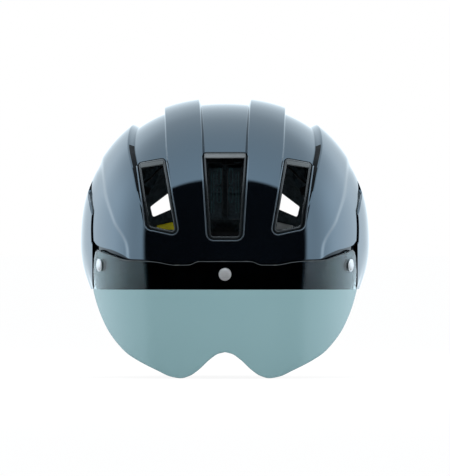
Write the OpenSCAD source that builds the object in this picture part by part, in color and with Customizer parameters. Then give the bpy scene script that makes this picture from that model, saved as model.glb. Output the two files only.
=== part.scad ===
// Bicycle helmet with a clip-on wrap-round visor, millimetres, +Z up, front towards -Y.
// The origin is the centre of the head opening, level with the bottom edge of the front rim.

/* [Shell] */
// Width over the sides of the shell
helmet_w = 215.4; // [208:1:224]
// Length of the shell from brow to back
helmet_l = 268; // [260:1:280]
// Height of the ribs' crown above the front rim
crown_z = 142.9; // [138:1:150]
// Height of the widest line above the front rim
belt_z = 34.4; // [32:1:38]
// How far the middle of the shell lies behind the origin
mid_y = 6; // [2:1:10]
// Roundness exponent of the shell's sections, 2 is an ellipse
roundness = 2.25; // [2.1:0.05:2.4]
// Depth from the belt to where the brow's curve would close
brow_drop = 150; // [130:5:170]
// Depth from the belt to where the nape's curve would close
nape_drop = 98; // [92:1:110]
// How far the sides tuck in above the rim
side_tuck = 5.6; // [3:0.2:7]
// Lowest point of the nape below the front rim
nape_dip = 21; // [16:1:24]
// Thickness of the outer shell
shell_t = 1.5; // [1:0.1:2]
// Height of the ribs over the channels
rib_h = 4.5; // [3:0.1:6]
// Drop from the outer rib to the side panel
side_drop = 1.2; // [0.6:0.1:2]

/* [Vents] */
// Half width of the centre vent at its top
centre_vent_top = 16.9; // [15:0.1:18]
// Half width of the centre vent at its foot
centre_vent_foot = 13.2; // [11:0.1:14.5]
// Height of the top edge of the front vents
vent_top_z = 101.7; // [98:0.5:104]
// Height of the foot of the front vents
vent_foot_z = 36.5; // [34:0.5:40]
// Width of the slot behind the temple
temple_slot_w = 5; // [4:0.2:7]
// Wall of the frames set in the front vents
frame_wall = 2.4; // [1.2:0.1:2.6]

/* [Liner] */
// Depth of the head cavity's wall under the outer surface
liner_t = 28; // [25:0.5:30]
// Free gap between pieces laid one in another
lay_gap = 0.15; // [0.1:0.05:0.3]

/* [Visor] */
// Thickness of the lens
lens_t = 2; // [1.6:0.1:2.2]
// Depth of the seat that the lens lies in
visor_seat = 3.2; // [3:0.1:4]
// Height of the lens's top edge at the middle
lens_top_z = 21.1; // [19:0.5:23]
// How far the lens's side ends lie in from the shell's widest line
lens_margin = 9.7; // [8.5:0.1:14]
// Depth of the lens's two lobes below the rim
lens_drop = 65.4; // [58:0.5:72]
// Depth of the nose notch's top below the rim
notch_top = 46.1; // [40:0.5:50]
// Slope of the lens back towards the face
lens_lean = 0.12; // [0.06:0.02:0.2]
// Diameter of the magnet rivets' caps
cap_d = 9.3; // [8:0.1:11]
// Height of the middle magnet above the rim
centre_magnet_z = 11.4; // [9:0.2:13]
// Height of the side magnets above the rim
side_magnet_z = 18; // [16:0.5:20]
// How far the side magnets lie in from the lens's side ends
magnet_inset = 5; // [4.5:0.1:8]

/* [Fit system] */
// Thickness of the head band
band_t = 1.4; // [1:0.1:1.8]
// Height of the head band
band_h = 13; // [10:0.5:16]
// Height of the head band's middle at the temples
band_z = 15; // [13:0.5:18]
// Diameter of the fit dial
dial_d = 28; // [26:0.5:29]
// Thickness of the dial's rim
dial_t = 6; // [5:0.5:7]
// Height of the dial's axis
dial_z = -1; // [-2:0.5:1]
// Teeth on the pinion
pinion_teeth = 10; // [8:1:12]
// Tooth module of the pinion and racks
tooth_m = 1; // [0.9:0.05:1.1]
// Travel of each rack strip
rack_travel = 12; // [10:1:12]

/* [Straps] */
// Width of the webbing
strap_w = 15; // [12:0.5:18]
// Thickness of the webbing
strap_t = 1.4; // [1:0.1:1.6]
// Depth of the tucked straps under the outer surface
strap_lay = 38; // [36:0.5:40]

/* [Hidden] */

half_w = helmet_w / 2;
half_l = helmet_l / 2;
crown_h = crown_z - belt_z;
lens_half_w = half_w - lens_margin;
side_magnet_x = lens_half_w - magnet_inset;
step = 10;
rows = 360 / step;
edge_w = 0.6;
pole = 0.9995;
far = 300;
pin_gap = 0.05;

// Half widths of the ribs and channels against the angle round the helmet, 0 at the brow,
// 90 at the crown and 180 at the nape, drawn for one half width of the shell
drawn_shell_w = 107.7;
across = half_w / drawn_shell_w;
middle_channel = [[-90, 12.6], [1, 12.6], [32, 16.2], [90, 19], [130, 18], [180, 15], [270, 15]];
inner_rib = [[-90, 35.6], [4, 35.6], [20, 41], [40, 44.6], [90, 46], [130, 43], [180, 36], [270, 36]];
outer_channel = [[-90, 56], [5, 59], [24, 65.5], [50, 71], [90, 68], [130, 63], [180, 54], [270, 54]];
outer_rib = [[-90, 66], [-2, 72.7], [10, 82.7], [30, 89.8], [60, 92], [90, 92.8], [130, 88],
    [180, 76], [270, 70]];

function mix(a, b, f) = a + (b - a) * f;
function ease(f) = let (c = min(1, max(0, f))) c * c * (3 - 2 * c);
function round_off(s) = pow(max(0, 1 - pow(abs(s), roundness)), 1 / roundness);
function wrap(th) = th > 270 ? th - 360 : th;
function turn_from_front(th) = abs(th) > 180 ? 360 - abs(th) : abs(th);
function drop_at(th) = mix(nape_drop, brow_drop, ease((135 - turn_from_front(th)) / 90));

// The sides lean in above the rim, from the temples back
function tuck(p) =
    let (low = min(1, max(0, (belt_z - p[2]) / belt_z)),
        back = ease((p[1] + 62) / 37), wide = pow(p[0] / half_w, 2))
    [p[0] - sign(p[0]) * side_tuck * low * low * back * wide, p[1], p[2]];

// A point of the surface at depth t under the ribs' surface
function skin(x, t, th) =
    let (s = x / half_w, k = round_off(s), a = (half_l - t) * k,
        h = ((sin(th) >= 0 ? crown_h : drop_at(th)) - t) * k,
        r = pow(pow(abs(cos(th)) / a, roundness) + pow(abs(sin(th)) / h, roundness),
            -1 / roundness))
    tuck([s * (half_w - t), mid_y - r * cos(th), belt_z + r * sin(th)]);

// The same surface where it faces forward, by its real x and z
function brow(x, t, z) =
    let (s = x / (half_w - t), k = round_off(s),
        h = ((z >= belt_z ? crown_h : brow_drop) - t) * k,
        q = min(1, abs(z - belt_z) / h))
    tuck([x, mid_y - (half_l - t) * k * pow(1 - pow(q, roundness), 1 / roundness), z]);

// Channels fade out into the smooth brow and nape
function channel_fade(th) = ease((th - 8) / 14) * ease((174 - th) / 14);
function side_fade(th) = ease((th + 12) / 10) * ease((192 - th) / 10);

function half_stations(th, fine) =
    let (a = lookup(th, middle_channel) * across, b = lookup(th, inner_rib) * across,
        c = lookup(th, outer_channel) * across, d = lookup(th, outer_rib) * across,
        low = rib_h * channel_fade(th), side = side_drop * side_fade(th),
        end = half_w * pole)
    concat([[0, low], [a - edge_w, low], [a + edge_w, 0]], fine ? [[(a + b) / 2, 0]] : [],
        [[b - edge_w, 0], [b + edge_w, low]], fine ? [[(b + c) / 2, low]] : [],
        [[c - edge_w, low], [c + edge_w, 0]], fine ? [[(c + d) / 2, 0]] : [],
        [[d - edge_w, 0], [d + edge_w, side]],
        [for (f = fine ? [0.35, 0.62, 0.8, 0.92, 0.98] : [0.62, 0.92]) [mix(d + edge_w, end, f), side]],
        [[end, side]]);

function stations(th, fine) =
    let (half = half_stations(th, fine), n = len(half))
    concat([for (i = [n - 1:-1:1]) [-half[i][0], half[i][1]]], half);

function shell_loops(depth, fine) =
    let (all = [for (j = [0:rows - 1]) stations(wrap(j * step), fine)])
    [for (i = [0:len(all[0]) - 1])
        [for (j = [0:rows - 1]) skin(all[j][i][0], all[j][i][1] + depth, wrap(j * step))]];

// A solid through closed loops of points, one after another along X. Its end loops are
// closed by a strip of triangles between opposite points, as they need not be flat
function cap(n, at, turned) = [for (j = [0:ceil(n / 2) - 2])
    let (a = at + j, b = a + 1, c = at + n - 1 - j, d = c - 1)
    each concat([turned ? [a, c, b] : [a, b, c]], d > b ? [turned ? [b, c, d] : [b, d, c]] : [])];
module loft(loops) {
    n = len(loops[0]);
    polyhedron(points = [for (l = loops) each l], faces = concat(
        cap(n, 0, true), cap(n, (len(loops) - 1) * n, false),
        [for (i = [0:len(loops) - 2]) for (j = [0:n - 1])
            let (k = (j + 1) % n, p = i * n, q = p + n)
            each [[p + j, p + k, q + k], [p + j, q + k, q + j]]]));
}

module egg(depth, fine = true) loft(shell_loops(depth, fine));

// Everything below the rim: level in front, rising behind the ears, dipping at the nape
ear_y = 5;
rear_y = 40;
rear_rim_z = 8;
rear_rim = [[0, -nape_dip], [20, -nape_dip + 3], [36, -nape_dip / 2], [52, 0], [75, 6],
    [100, rear_rim_z], [far, rear_rim_z]];
module below_rim() {
    translate([-far / 2, 0, 0]) rotate([90, 0, 90]) linear_extrude(far)
        polygon([[-far, -far], [rear_y, -far], [rear_y, rear_rim_z],
            [mix(ear_y, rear_y, 0.6), rear_rim_z * 0.7], [ear_y, 0], [-far, 0]]);
    translate([0, far, 0]) rotate([90, 0, 0]) linear_extrude(far - rear_y)
        polygon(concat([[-far, -far]], [for (i = [len(rear_rim) - 1:-1:1])
            [-rear_rim[i][0], rear_rim[i][1]]], rear_rim, [[far, -far]]));
}

// The edge where the shell steps down to the visor's seat, over the lens's top edge. Each
// edge is a table from the middle to its end, and is stretched to the lens's half width
seat_over = 0.6;
edge_gap = 0.8;
lens_top = [[0, 0], [19, 0], [27, -2.6], [37, -2.7], [50, -0.6], [61, 0.4], [73, 0.9],
    [84, 4.4], [90, 6.4], [94.5, 8.4], [97, 4], [98, -10]];
seat_top = [[0, 0], [19, 0], [27, -2.5], [37, -2.6], [50, -0.4], [61, 0.4], [70, 0.8],
    [76, 4], [84, 7.5], [90, 9], [95, 11], [98.6, 16]];
function end_of(table) = table[len(table) - 1][0];
drawn_lens_w = end_of(lens_top);
seat_half_w = lens_half_w + seat_over;
seat_scale = seat_half_w / end_of(seat_top);
function seat_z(x) = lens_top_z + edge_gap + lookup(abs(x) / seat_scale, seat_top);
module seat_prism(grow = 0, back = -45) {
    edge = [for (p = seat_top) [p[0] * seat_scale, seat_z(p[0] * seat_scale) + grow]];
    last = len(edge) - 1;
    translate([0, back, 0]) rotate([90, 0, 0]) linear_extrude(far) polygon(concat(
        [[-seat_half_w - grow, -far]],
        [for (i = [last:-1:1]) [-edge[i][0] - (i == last ? grow : 0), edge[i][1]]],
        [for (i = [0:last]) [edge[i][0] + (i == last ? grow : 0), edge[i][1]]],
        [[seat_half_w + grow, -far]]));
}

// A vent is the hull of round posts, [across, up, radius], run through the wall
module post(x, z, r, y0, y1)
    translate([x, y1, z]) rotate([90, 0, 0]) cylinder(r = r, h = y1 - y0, $fn = 32);
module vent(corners, y0, y1) hull() for (c = corners) post(c[0], c[1], c[2], y0, y1);
module both_sides() { children(); mirror([1, 0, 0]) children(); }

corner_r = 5;
rear_side_corners = [[44.8 * across, 57.5, 4.2], [54 * across, 58.5, 4], [53 * across, 62, 4],
    [45.4 * across, 67.6, 4.2]];
rear_centre_corners = [[-9, 108, 4], [9, 108, 4], [-8, 122, 4], [8, 122, 4]];

top_vent_x = 56 * across;
module top_vents() {
    for (x = [-1, 1]) hull() for (y = [28, 66])
        translate([x * top_vent_x, y, belt_z]) cylinder(r = y < 40 ? 7 : 5, h = far, $fn = 32);
    hull() for (y = [30, 62]) translate([0, y, belt_z]) cylinder(r = 9, h = far, $fn = 32);
}

// The long slot behind each temple, seen from the side as [back, up, half width]
temple_path = [[-54, 36, 0.5], [-50, 57, 0.5], [-34, 68, 0.7], [-12, 76, 0.9]];
module temple_slots() both_sides()
    for (i = [0:len(temple_path) - 2]) hull() for (p = [temple_path[i], temple_path[i + 1]])
        translate([60, p[0], p[1]]) rotate([0, 90, 0])
            cylinder(r = temple_slot_w * p[2], h = 80, $fn = 32);

module vents() {
    vent(centre_corners, -far / 2, -55);
    both_sides() vent(side_corners, -far / 2, -40);
    both_sides() vent(rear_side_corners, 50, far / 2);
    vent(rear_centre_corners, 50, far / 2);
    top_vents();
    temple_slots();
}

module outer_shell() color([0.03, 0.03, 0.04]) difference() {
    egg(0);
    egg(shell_t);
    below_rim();
    seat_prism();
    vents();
}

// A curved sheet that faces forward, between two heights that change along X
function sheet_loops(xs, zlow, zhigh, out, in, rise) =
    [for (i = [0:len(xs) - 1]) let (x = xs[i])
        concat([for (j = [0:rise]) face_point(x, out, mix(zlow[i], zhigh[i], j / rise))],
            [for (j = [rise:-1:0]) face_point(x, in, mix(zlow[i], zhigh[i], j / rise))])];

// Below the rim the lens runs on in its own slope, easing to a steady lean
lean_length = 30;
function face_point(x, t, z) = z >= 0 ? brow(x, t, z) :
    let (p = brow(x, t, 0), slope = (p[1] - brow(x, t, 2)[1]) / 2)
    [x, p[1] - lens_lean * z + (slope - lens_lean) * lean_length * (1 - exp(z / lean_length)), z];

function spread(half, count) = [for (i = [-count:count]) half * sin(90 * i / count) * 0.35
    + half * i / count * 0.65];

module rim_band() color([0.04, 0.04, 0.05]) {
    xs = spread(lens_half_w - 3.5, 13);
    loft(sheet_loops(xs, [for (x = xs) 0], [for (x = xs) seat_z(x) + 1.4],
        visor_seat, visor_seat + shell_t, 3));
}

// Head cavity: a dome down to the belt and straight walls below it
dome_rows = 18;
dome_stations = 9;
function cavity_point(s, th, depth) =
    let (k = round_off(s), a = (half_l - depth) * k, h = (crown_h - depth) * k,
        r = pow(pow(abs(cos(th)) / a, roundness) + pow(abs(sin(th)) / h, roundness),
            -1 / roundness))
    [s * (half_w - depth), mid_y - r * cos(th), belt_z + r * sin(th)];
module cavity(depth) {
    loft([for (i = [-dome_stations:dome_stations]) let (s = pole * sin(90 * i / dome_stations),
        front = cavity_point(s, 0, depth), rear = cavity_point(s, 180, depth))
        concat([[front[0], front[1], -far]],
            [for (j = [0:dome_rows]) cavity_point(s, 180 * j / dome_rows, depth)],
            [[rear[0], rear[1], -far]])]);
}

// The nape of the liner is cut away round the fit dial
pocket_side = 14;
pocket_top = 3.6;
pocket_back = 2.1;
module nape_pocket() {
    wide = housing_half_w + pocket_side;
    top = dial_z + housing_wall + wall_t + pocket_top;
    back = dial_front + dial_t + pocket_back;
    translate([-wide, mid_y, -far]) cube([2 * wide, back - mid_y, far + top]);
}

// The foam is moulded in two blocks that meet just behind the widest line
split_y = mid_y + 4;
module liner_block() difference() {
    union() {
        difference() {
            egg(shell_t + lay_gap, false);
            seat_prism(3, -25);
        }
        egg(visor_seat + shell_t + 3 * lay_gap, false);
    }
    cavity(liner_t);
    below_rim();
    nape_pocket();
    vents();
}
module eps_front() color([0.09, 0.09, 0.1]) intersection() {
    liner_block();
    translate([-far, split_y - 2 * far, -far]) cube(2 * far);
}
module eps_rear() color([0.09, 0.09, 0.1]) intersection() {
    liner_block();
    translate([-far, split_y, -far]) cube(2 * far);
}

// Frames that line the mouths of the front vents, set back under the shell's edge.
// An outline runs round four rounded corners, [across, up, radius]
frame_set = 0.4;
frame_front = 3.4;
frame_deep = 9;
corner_steps = 4;
bar_top = 2.4;
bar_h = 3.6;
bar_in = 1.9;
function corner_arc(c, from, cut) = [for (i = [0:corner_steps])
    let (a = from - 90 * i / corner_steps) [c[0] + (c[2] - cut) * cos(a), c[1] + (c[2] - cut) * sin(a)]];
function frame_outline(c, cut) = concat(corner_arc(c[0], 180, cut), corner_arc(c[1], 90, cut),
    corner_arc(c[3], 0, cut), corner_arc(c[2], 270, cut));
module frame_ring(corners) {
    n = 4 * (corner_steps + 1);
    out = frame_outline(corners, frame_set);
    in = frame_outline(corners, frame_set + frame_wall);
    near = frame_front;
    deep = frame_front + frame_deep;
    points = [for (j = [0:n - 1]) each [brow(out[j][0], near, out[j][1]), brow(in[j][0], near, in[j][1]),
        brow(in[j][0], deep, in[j][1]), brow(out[j][0], deep, out[j][1])]];
    polyhedron(points = points, faces = [for (j = [0:n - 1]) for (k = [0:3])
        let (a = 4 * j + k, b = 4 * j + (k + 1) % 4, c = 4 * ((j + 1) % n) + (k + 1) % 4,
            d = 4 * ((j + 1) % n) + k) each [[a, c, b], [a, d, c]]]);
}
module frame_bar(from, to, top_from, top_to) {
    xs = [for (i = [0:4]) mix(from, to, i / 4)];
    tops = [for (i = [0:4]) mix(top_from, top_to, i / 4)];
    loft([for (i = [0:4]) [brow(xs[i], frame_front + 0.6, tops[i] - bar_h),
        brow(xs[i], frame_front + 0.6, tops[i]), brow(xs[i], frame_front + 6, tops[i]),
        brow(xs[i], frame_front + 6, tops[i] - bar_h)]]);
}
top_r = 3.4;
centre_corners = let (t = centre_vent_top - top_r, f = centre_vent_foot - corner_r)
    [[-t, vent_top_z - top_r, top_r], [t, vent_top_z - top_r, top_r],
     [-f, vent_foot_z + corner_r, corner_r], [f, vent_foot_z + corner_r, corner_r]];
side_corners = [[46.8 * across, vent_top_z - 7.8, top_r], [61.4 * across, vent_top_z - 10.4, top_r],
    [39.4 * across, vent_foot_z + 8.8, 4.6], [53.5 * across, vent_foot_z + 12.5, 5.2]];
module centre_vent_frame() color([0.07, 0.08, 0.09]) {
    frame_ring(centre_corners);
    edge = centre_vent_top - frame_set - 0.8;
    frame_bar(-edge, edge, vent_top_z - bar_top - frame_set, vent_top_z - bar_top - frame_set);
}
module side_vent_frames() color([0.07, 0.08, 0.09]) both_sides() {
    frame_ring(side_corners);
    near = side_corners[0] + [bar_in - top_r, top_r];
    away = side_corners[1] + [top_r - bar_in, top_r];
    frame_bar(near[0], away[0], near[1] - frame_set - bar_top, away[1] - frame_set - bar_top);
}

// Unit normal of the brow's surface and a frame turned to it
function brow_normal(x, z) =
    let (a = brow(x + 1, 0, z) - brow(x - 1, 0, z), b = brow(x, 0, z + 1) - brow(x, 0, z - 1),
        n = cross(a, b))
    n / norm(n);
module on_brow(x, z, t) {
    n = brow_normal(x, z);
    translate(brow(x, 0, z) - n * t)
        rotate([0, acos(n[2]), atan2(n[1], n[0])]) children();
}
magnet_places = [[-side_magnet_x, side_magnet_z], [0, centre_magnet_z],
    [side_magnet_x, side_magnet_z]];

// A rivet holds a magnet to the back of the lens; its domed cap shows in front
rivet_d = 4;
visor_magnet_t = 0.8;
module visor_rivets() color("silver") for (p = magnet_places) on_brow(p[0], p[1], 0)
    rotate_extrude($fn = 48) polygon(concat(
        [[0, -lens_t - visor_magnet_t], [cap_d / 2, -lens_t - visor_magnet_t],
         [cap_d / 2, -lens_t - 0.05], [rivet_d / 2, -lens_t - 0.05], [rivet_d / 2, 0.25],
         [cap_d / 2, 0.25], [cap_d / 2, 0.7]],
        [for (a = [30:15:90]) [cap_d / 2 * cos(a), 0.7 + 1.1 * (sin(a) - 0.5) / 0.5 * 0.9]]));

magnet_t = 3;
module helmet_magnets() color("silver") for (p = magnet_places)
    on_brow(p[0], p[1], visor_seat + magnet_t) cylinder(d = cap_d, h = magnet_t, $fn = 48);

// Lens: its lower edge swings down in two lobes round a nose notch
lens_scale = lens_half_w / drawn_lens_w;
foot_x = [0, 5, 11.2, 19.7, 26, 32.6, 39.8, 50, 58.3, 66, 72.7, 80, 87, 92, 95.5, 98];
foot_z = [-46.1, -47.3, -51.5, -59.4, -63.6, -65.4, -64.3, -59.8, -55.8, -51.6, -47.1, -39.6,
    -29.9, -19.5, -10, -0.7];
drawn_drop = -min(foot_z);
drawn_notch = -foot_z[0];
function foot_at(x) =
    let (u = abs(x) / lens_scale,
        z = lookup(u, [for (i = [0:len(foot_x) - 1]) [foot_x[i], foot_z[i]]]),
        inner = ease((foot_x[5] - u) / foot_x[5]))
    z - (lens_drop - drawn_drop) * min(1, -z / drawn_drop) * (1 - inner)
        - (notch_top - drawn_notch) * inner;
function top_at(x) = lens_top_z + lookup(abs(x) / lens_scale, lens_top);
module visor_lens() color([0.5, 0.65, 0.67, 0.6]) {
    half = lens_scale * [0, 5, 11.2, 15.5, 19.7, 26, 32.6, 39.8, 50, 61, 73, 80, 87, 91, 94.5, 97,
        drawn_lens_w];
    xs = [for (i = [len(half) - 1:-1:1]) -half[i], for (h = half) h];
    loft(sheet_loops(xs, [for (x = xs) foot_at(x)], [for (x = xs) top_at(x)], 0, lens_t, 9));
}

// A band laid along the cavity's wall, through angles round the head from the brow
function wall_point(depth, a) =
    let (r = pow(pow(abs(sin(a)) / (half_w - depth), roundness)
        + pow(abs(cos(a)) / (half_l - depth), roundness), -1 / roundness))
    [r * sin(a), mid_y - r * cos(a)];
module wall_strip(depth, thick, from, to, count) {
    outer = [for (i = [0:count]) wall_point(depth, mix(from, to, i / count))];
    inner = [for (i = [count:-1:0]) wall_point(depth + thick, mix(from, to, i / count))];
    polygon(concat(outer, inner));
}

band_lay = liner_t + 2.6;
temple_a = 66.5;
temple = wall_point(band_lay, temple_a);
eyelet_r = 5;
eyelet_t = 1.2;
pin_r = 2.5;
module at_temple(x) translate([temple[0] + x, temple[1], band_z]) rotate([0, 90, 0]) children();
module eyelet(x) at_temple(x) difference() {
    cylinder(r = eyelet_r, h = eyelet_t, $fn = 48);
    translate([0, 0, -1]) cylinder(r = pin_r + pin_gap, h = eyelet_t + 2, $fn = 48);
}

module head_band() color([0.12, 0.12, 0.13]) {
    translate([0, 0, band_z - band_h / 2]) linear_extrude(band_h)
        wall_strip(band_lay, band_t, -temple_a + 2.2, temple_a - 2.2, 40);
    both_sides() eyelet(-band_t);
}
module temple_pins() color([0.12, 0.12, 0.13]) both_sides() {
    at_temple(0) cylinder(r = 5, h = 5, $fn = 48);
    at_temple(-4.4) cylinder(r = pin_r, h = 5, $fn = 48);
    at_temple(-5.5) cylinder(r = 4, h = 1.4, $fn = 48);
}

// Arms run from the temples round to the racks at the nape, easing down to their height
pitch_r = tooth_m * pinion_teeth / 2;
rack_front = wall_point(band_lay, 180)[1] - 2;
rack_t = 2;
rack_x = 2 * rack_travel;
rack_end = 10;
rack_low = pitch_r + 1.1 * tooth_m;
rack_body = 5;
arm_h = 8;
arm_t = 1.4;
arm_steps = 20;
function arm_end_z(side) = dial_z - side * (rack_low + rack_body / 2);
function arm_row(f, side) =
    let (a = mix(temple_a + 2.4, 163, f), depth = mix(band_lay + 3.4, liner_t + 1.6, ease((a - 80) / 60)),
        p = wall_point(depth, a), q = wall_point(depth, a + 1), d = q - p, n = [d[1], -d[0]] / norm(d))
    [p, n, mix(band_z, arm_end_z(side), ease((a - 112) / 46))];
module arm(side) color([0.12, 0.12, 0.13]) mirror([side < 0 ? 1 : 0, 0, 0]) {
    rows = concat([[[temple[0] - 3.3, temple[1] + pin_r + 0.4], [1, 0], band_z]],
        [for (i = [0:arm_steps]) arm_row(i / arm_steps, side)],
        [[[rack_x + 0.2, rack_front + rack_t / 2], [0.17, 0.98], arm_end_z(side)]]);
    loft([for (r = rows) let (n = r[1] * arm_t / 2, z = r[2])
        [[r[0][0] - n[0], r[0][1] - n[1], z - arm_h / 2], [r[0][0] + n[0], r[0][1] + n[1], z - arm_h / 2],
         [r[0][0] + n[0], r[0][1] + n[1], z + arm_h / 2], [r[0][0] - n[0], r[0][1] - n[1], z + arm_h / 2]]]);
    eyelet(-3.9);
}

// Rack strips with teeth on the side of the pinion, one above it and one below
tooth_gap = 0.12;
tooth_up = 0.8 * tooth_m;
pitch = PI * tooth_m;
function rack_teeth(from, to) = [for (i = [from:to])
    let (x = (i + 0.5) * pitch, w = pitch / 4 - tooth_gap, s = tan(20))
    each [[x - w - s * tooth_m, rack_low], [x - w + s * tooth_up, pitch_r - tooth_up],
        [x + w - s * tooth_up, pitch_r - tooth_up], [x + w + s * tooth_m, rack_low]]];
module rack() translate([0, rack_front + rack_t, dial_z]) rotate([90, 0, 0]) linear_extrude(rack_t)
    polygon(concat([[-rack_x, rack_low + rack_body], [-rack_x, rack_low]],
        rack_teeth(-ceil(rack_travel / pitch) - 2, 1), [[rack_end, rack_low], [rack_end, rack_low + rack_body]]));
module rack_left() color([0.12, 0.12, 0.13]) rack();
module rack_right() color([0.12, 0.12, 0.13])
    translate([0, 0, 2 * dial_z]) rotate([0, 180, 0]) rack();

// Pinion teeth are straight flanked and slim, so they clear the racks all the way
module pinion_outline() {
    root = pitch_r - 1.15 * tooth_m;
    polygon([for (i = [0:pinion_teeth - 1]) let (a = 90 + 360 * i / pinion_teeth, h = 90 / pinion_teeth)
        each [[root * cos(a - 1.35 * h), root * sin(a - 1.35 * h)],
            [pitch_r * cos(a - 0.84 * h), pitch_r * sin(a - 0.84 * h)],
            [(pitch_r + tooth_up) * cos(a - 0.36 * h), (pitch_r + tooth_up) * sin(a - 0.36 * h)],
            [(pitch_r + tooth_up) * cos(a + 0.36 * h), (pitch_r + tooth_up) * sin(a + 0.36 * h)],
            [pitch_r * cos(a + 0.84 * h), pitch_r * sin(a + 0.84 * h)],
            [root * cos(a + 1.35 * h), root * sin(a + 1.35 * h)]]]);
}
module on_dial_axis(y) translate([0, y, dial_z]) rotate([-90, 0, 0]) children();
shaft_r = 2.5;
module pinion() color([0.8, 0.8, 0.78]) on_dial_axis(rack_front + 0.1) difference() {
    linear_extrude(rack_t - 0.2) rotate(180) pinion_outline();
    translate([0, 0, -1]) cylinder(r = shaft_r, h = rack_t + 2, $fn = 48);
}

housing_half_w = 20;
wall_t = 2;
housing_wall = rack_low + rack_body + 0.3;
housing_front = rack_front - 0.2 - 2.6;
cover_front = rack_front + rack_t + 0.2;
module rounded_plate(w, h, r) hull() for (x = [-1, 1], y = [-1, 1])
    translate([x * (w / 2 - r), y * (h / 2 - r)]) circle(r = r, $fn = 32);
module dial_housing() color([0.1, 0.1, 0.11]) on_dial_axis(housing_front) difference() {
    linear_extrude(cover_front + wall_t - housing_front)
        square([2 * housing_half_w, 2 * (housing_wall + wall_t)], center = true);
    translate([-housing_half_w - 1, -housing_wall, 2.6])
        cube([2 * housing_half_w + 2, 2 * housing_wall, 20]);
    translate([0, 0, 0.8]) cylinder(r = shaft_r + pin_gap, h = 5, $fn = 48);
}
module housing_cover() color([0.1, 0.1, 0.11]) on_dial_axis(cover_front) difference() {
    linear_extrude(wall_t) square([2 * housing_half_w, 2 * (housing_wall - lay_gap)], center = true);
    translate([0, 0, -1]) cylinder(r = shaft_r + pin_gap, h = wall_t + 2, $fn = 48);
}
dial_front = cover_front + wall_t + 0.3;
dial_grips = 14;
module fit_dial() color([0.06, 0.06, 0.07]) {
    on_dial_axis(housing_front + 1) cylinder(r = shaft_r, h = dial_front - housing_front, $fn = 48);
    on_dial_axis(dial_front) difference() {
        cylinder(d = dial_d, h = dial_t, $fn = 96);
        for (i = [0:dial_grips - 1]) rotate(360 * i / dial_grips)
            translate([dial_d / 2 + 1.2, 0, -1]) cylinder(r = 2.4, h = dial_t + 2, $fn = 32);
        translate([0, 0, dial_t - 1.6]) cylinder(r = dial_d / 2 - 5, h = 3, $fn = 96);
    }
}

// The occipital cradle is a winged plate in front of the housing
cradle_t = 2.8;
cradle_front = housing_front - lay_gap - cradle_t;
module rear_cradle() color([0.1, 0.1, 0.11]) translate([0, cradle_front + cradle_t, dial_z + 2])
    rotate([90, 0, 0]) linear_extrude(cradle_t) difference() {
        union() {
            rounded_plate(44, 20, 6);
            for (x = [-1, 1]) translate([x * 19, 0]) rounded_plate(18, 31, 8);
        }
        for (x = [-1, 1]) translate([x * 19, 0]) rounded_plate(8, 17, 3.9);
    }

height_strap_t = 1.4;
height_strap_w = 14;
height_strap_top = 46;
strap_front = housing_front + 0.6;
module height_strap() color([0.12, 0.12, 0.13]) difference() {
    translate([-height_strap_w / 2, strap_front, dial_z + housing_wall + wall_t + lay_gap])
        cube([height_strap_w, height_strap_t, height_strap_top - dial_z - housing_wall - wall_t]);
    for (z = [22, 30, 38]) translate([0, strap_front + 3, z]) rotate([90, 0, 0])
        cylinder(r = 2, h = 6, $fn = 32);
}
module height_socket() color([0.12, 0.12, 0.13]) difference() {
    translate([-11, strap_front - 2, 30])
        cube([22, wall_point(liner_t, 180)[1] + 1 - strap_front + 2, 13]);
    translate([-height_strap_w / 2 - 0.4, strap_front - 0.4, 29])
        cube([height_strap_w + 0.8, height_strap_t + 3, 15]);
}

// A cushion crowned over its middle, laid by a function of two fractions and a height
function crown(f) = pow(max(0, 1 - pow(abs(2 * f - 1), 3)), 0.5);
function cushion_loops(nu, nv, full, place) = [for (i = [0:nu]) let (u = i / nu)
    concat([for (j = [0:nv]) place(u, j / nv, 1 + (full - 1) * crown(u) * crown(j / nv))],
        [for (j = [nv:-1:0]) place(u, j / nv, 0)])];

// A point of the cavity's dome by its place back and its angle up from the side
function dome_point(y, up, depth) =
    let (k = round_off((y - mid_y) / (half_l - depth)), e = 2 / roundness)
    [sign(cos(up)) * (half_w - depth) * k * pow(abs(cos(up)), e), y,
     belt_z + (crown_h - depth) * k * pow(abs(sin(up)), e)];

pad_t = 6;
pad_lay = liner_t + 0.9;
module brow_pad() color([0.05, 0.05, 0.06]) loft(cushion_loops(16, 4, pad_t, function(u, v, d)
    concat(wall_point(band_lay + band_t + lay_gap + d, mix(44, -44, u)), [band_z + mix(-8, 8, v)])));
module crown_pad() color([0.05, 0.05, 0.06]) loft(cushion_loops(10, 8, pad_t, function(u, v, d)
    dome_point(mix(14, -44, u), mix(72, 108, v), pad_lay + d)));
module side_pads() color([0.05, 0.05, 0.06]) both_sides()
    loft(cushion_loops(8, 6, pad_t, function(u, v, d)
        dome_point(mix(50, 23, u), mix(9, 34, v), pad_lay + d)));
function nape_point(x, z, depth) =
    let (k = round_off(x / (half_w - depth)), q = (z - belt_z) / ((crown_h - depth) * k))
    [x, mid_y + (half_l - depth) * k * pow(1 - pow(q, roundness), 1 / roundness), z];
module rear_pads() color([0.05, 0.05, 0.06]) for (x = [-7, 7])
    loft(cushion_loops(5, 8, pad_t, function(u, v, d)
        nape_point(x + mix(-5.5, 5.5, u), mix(52, 92, v), pad_lay + d)));
module cradle_pad() color([0.05, 0.05, 0.06]) for (x = [-19, 19])
    loft(cushion_loops(5, 8, 4.5, function(u, v, d)
        [x + mix(-7, 7, u), cradle_front - lay_gap - d, dial_z + 2 + mix(-13, 13, v)]));

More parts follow.
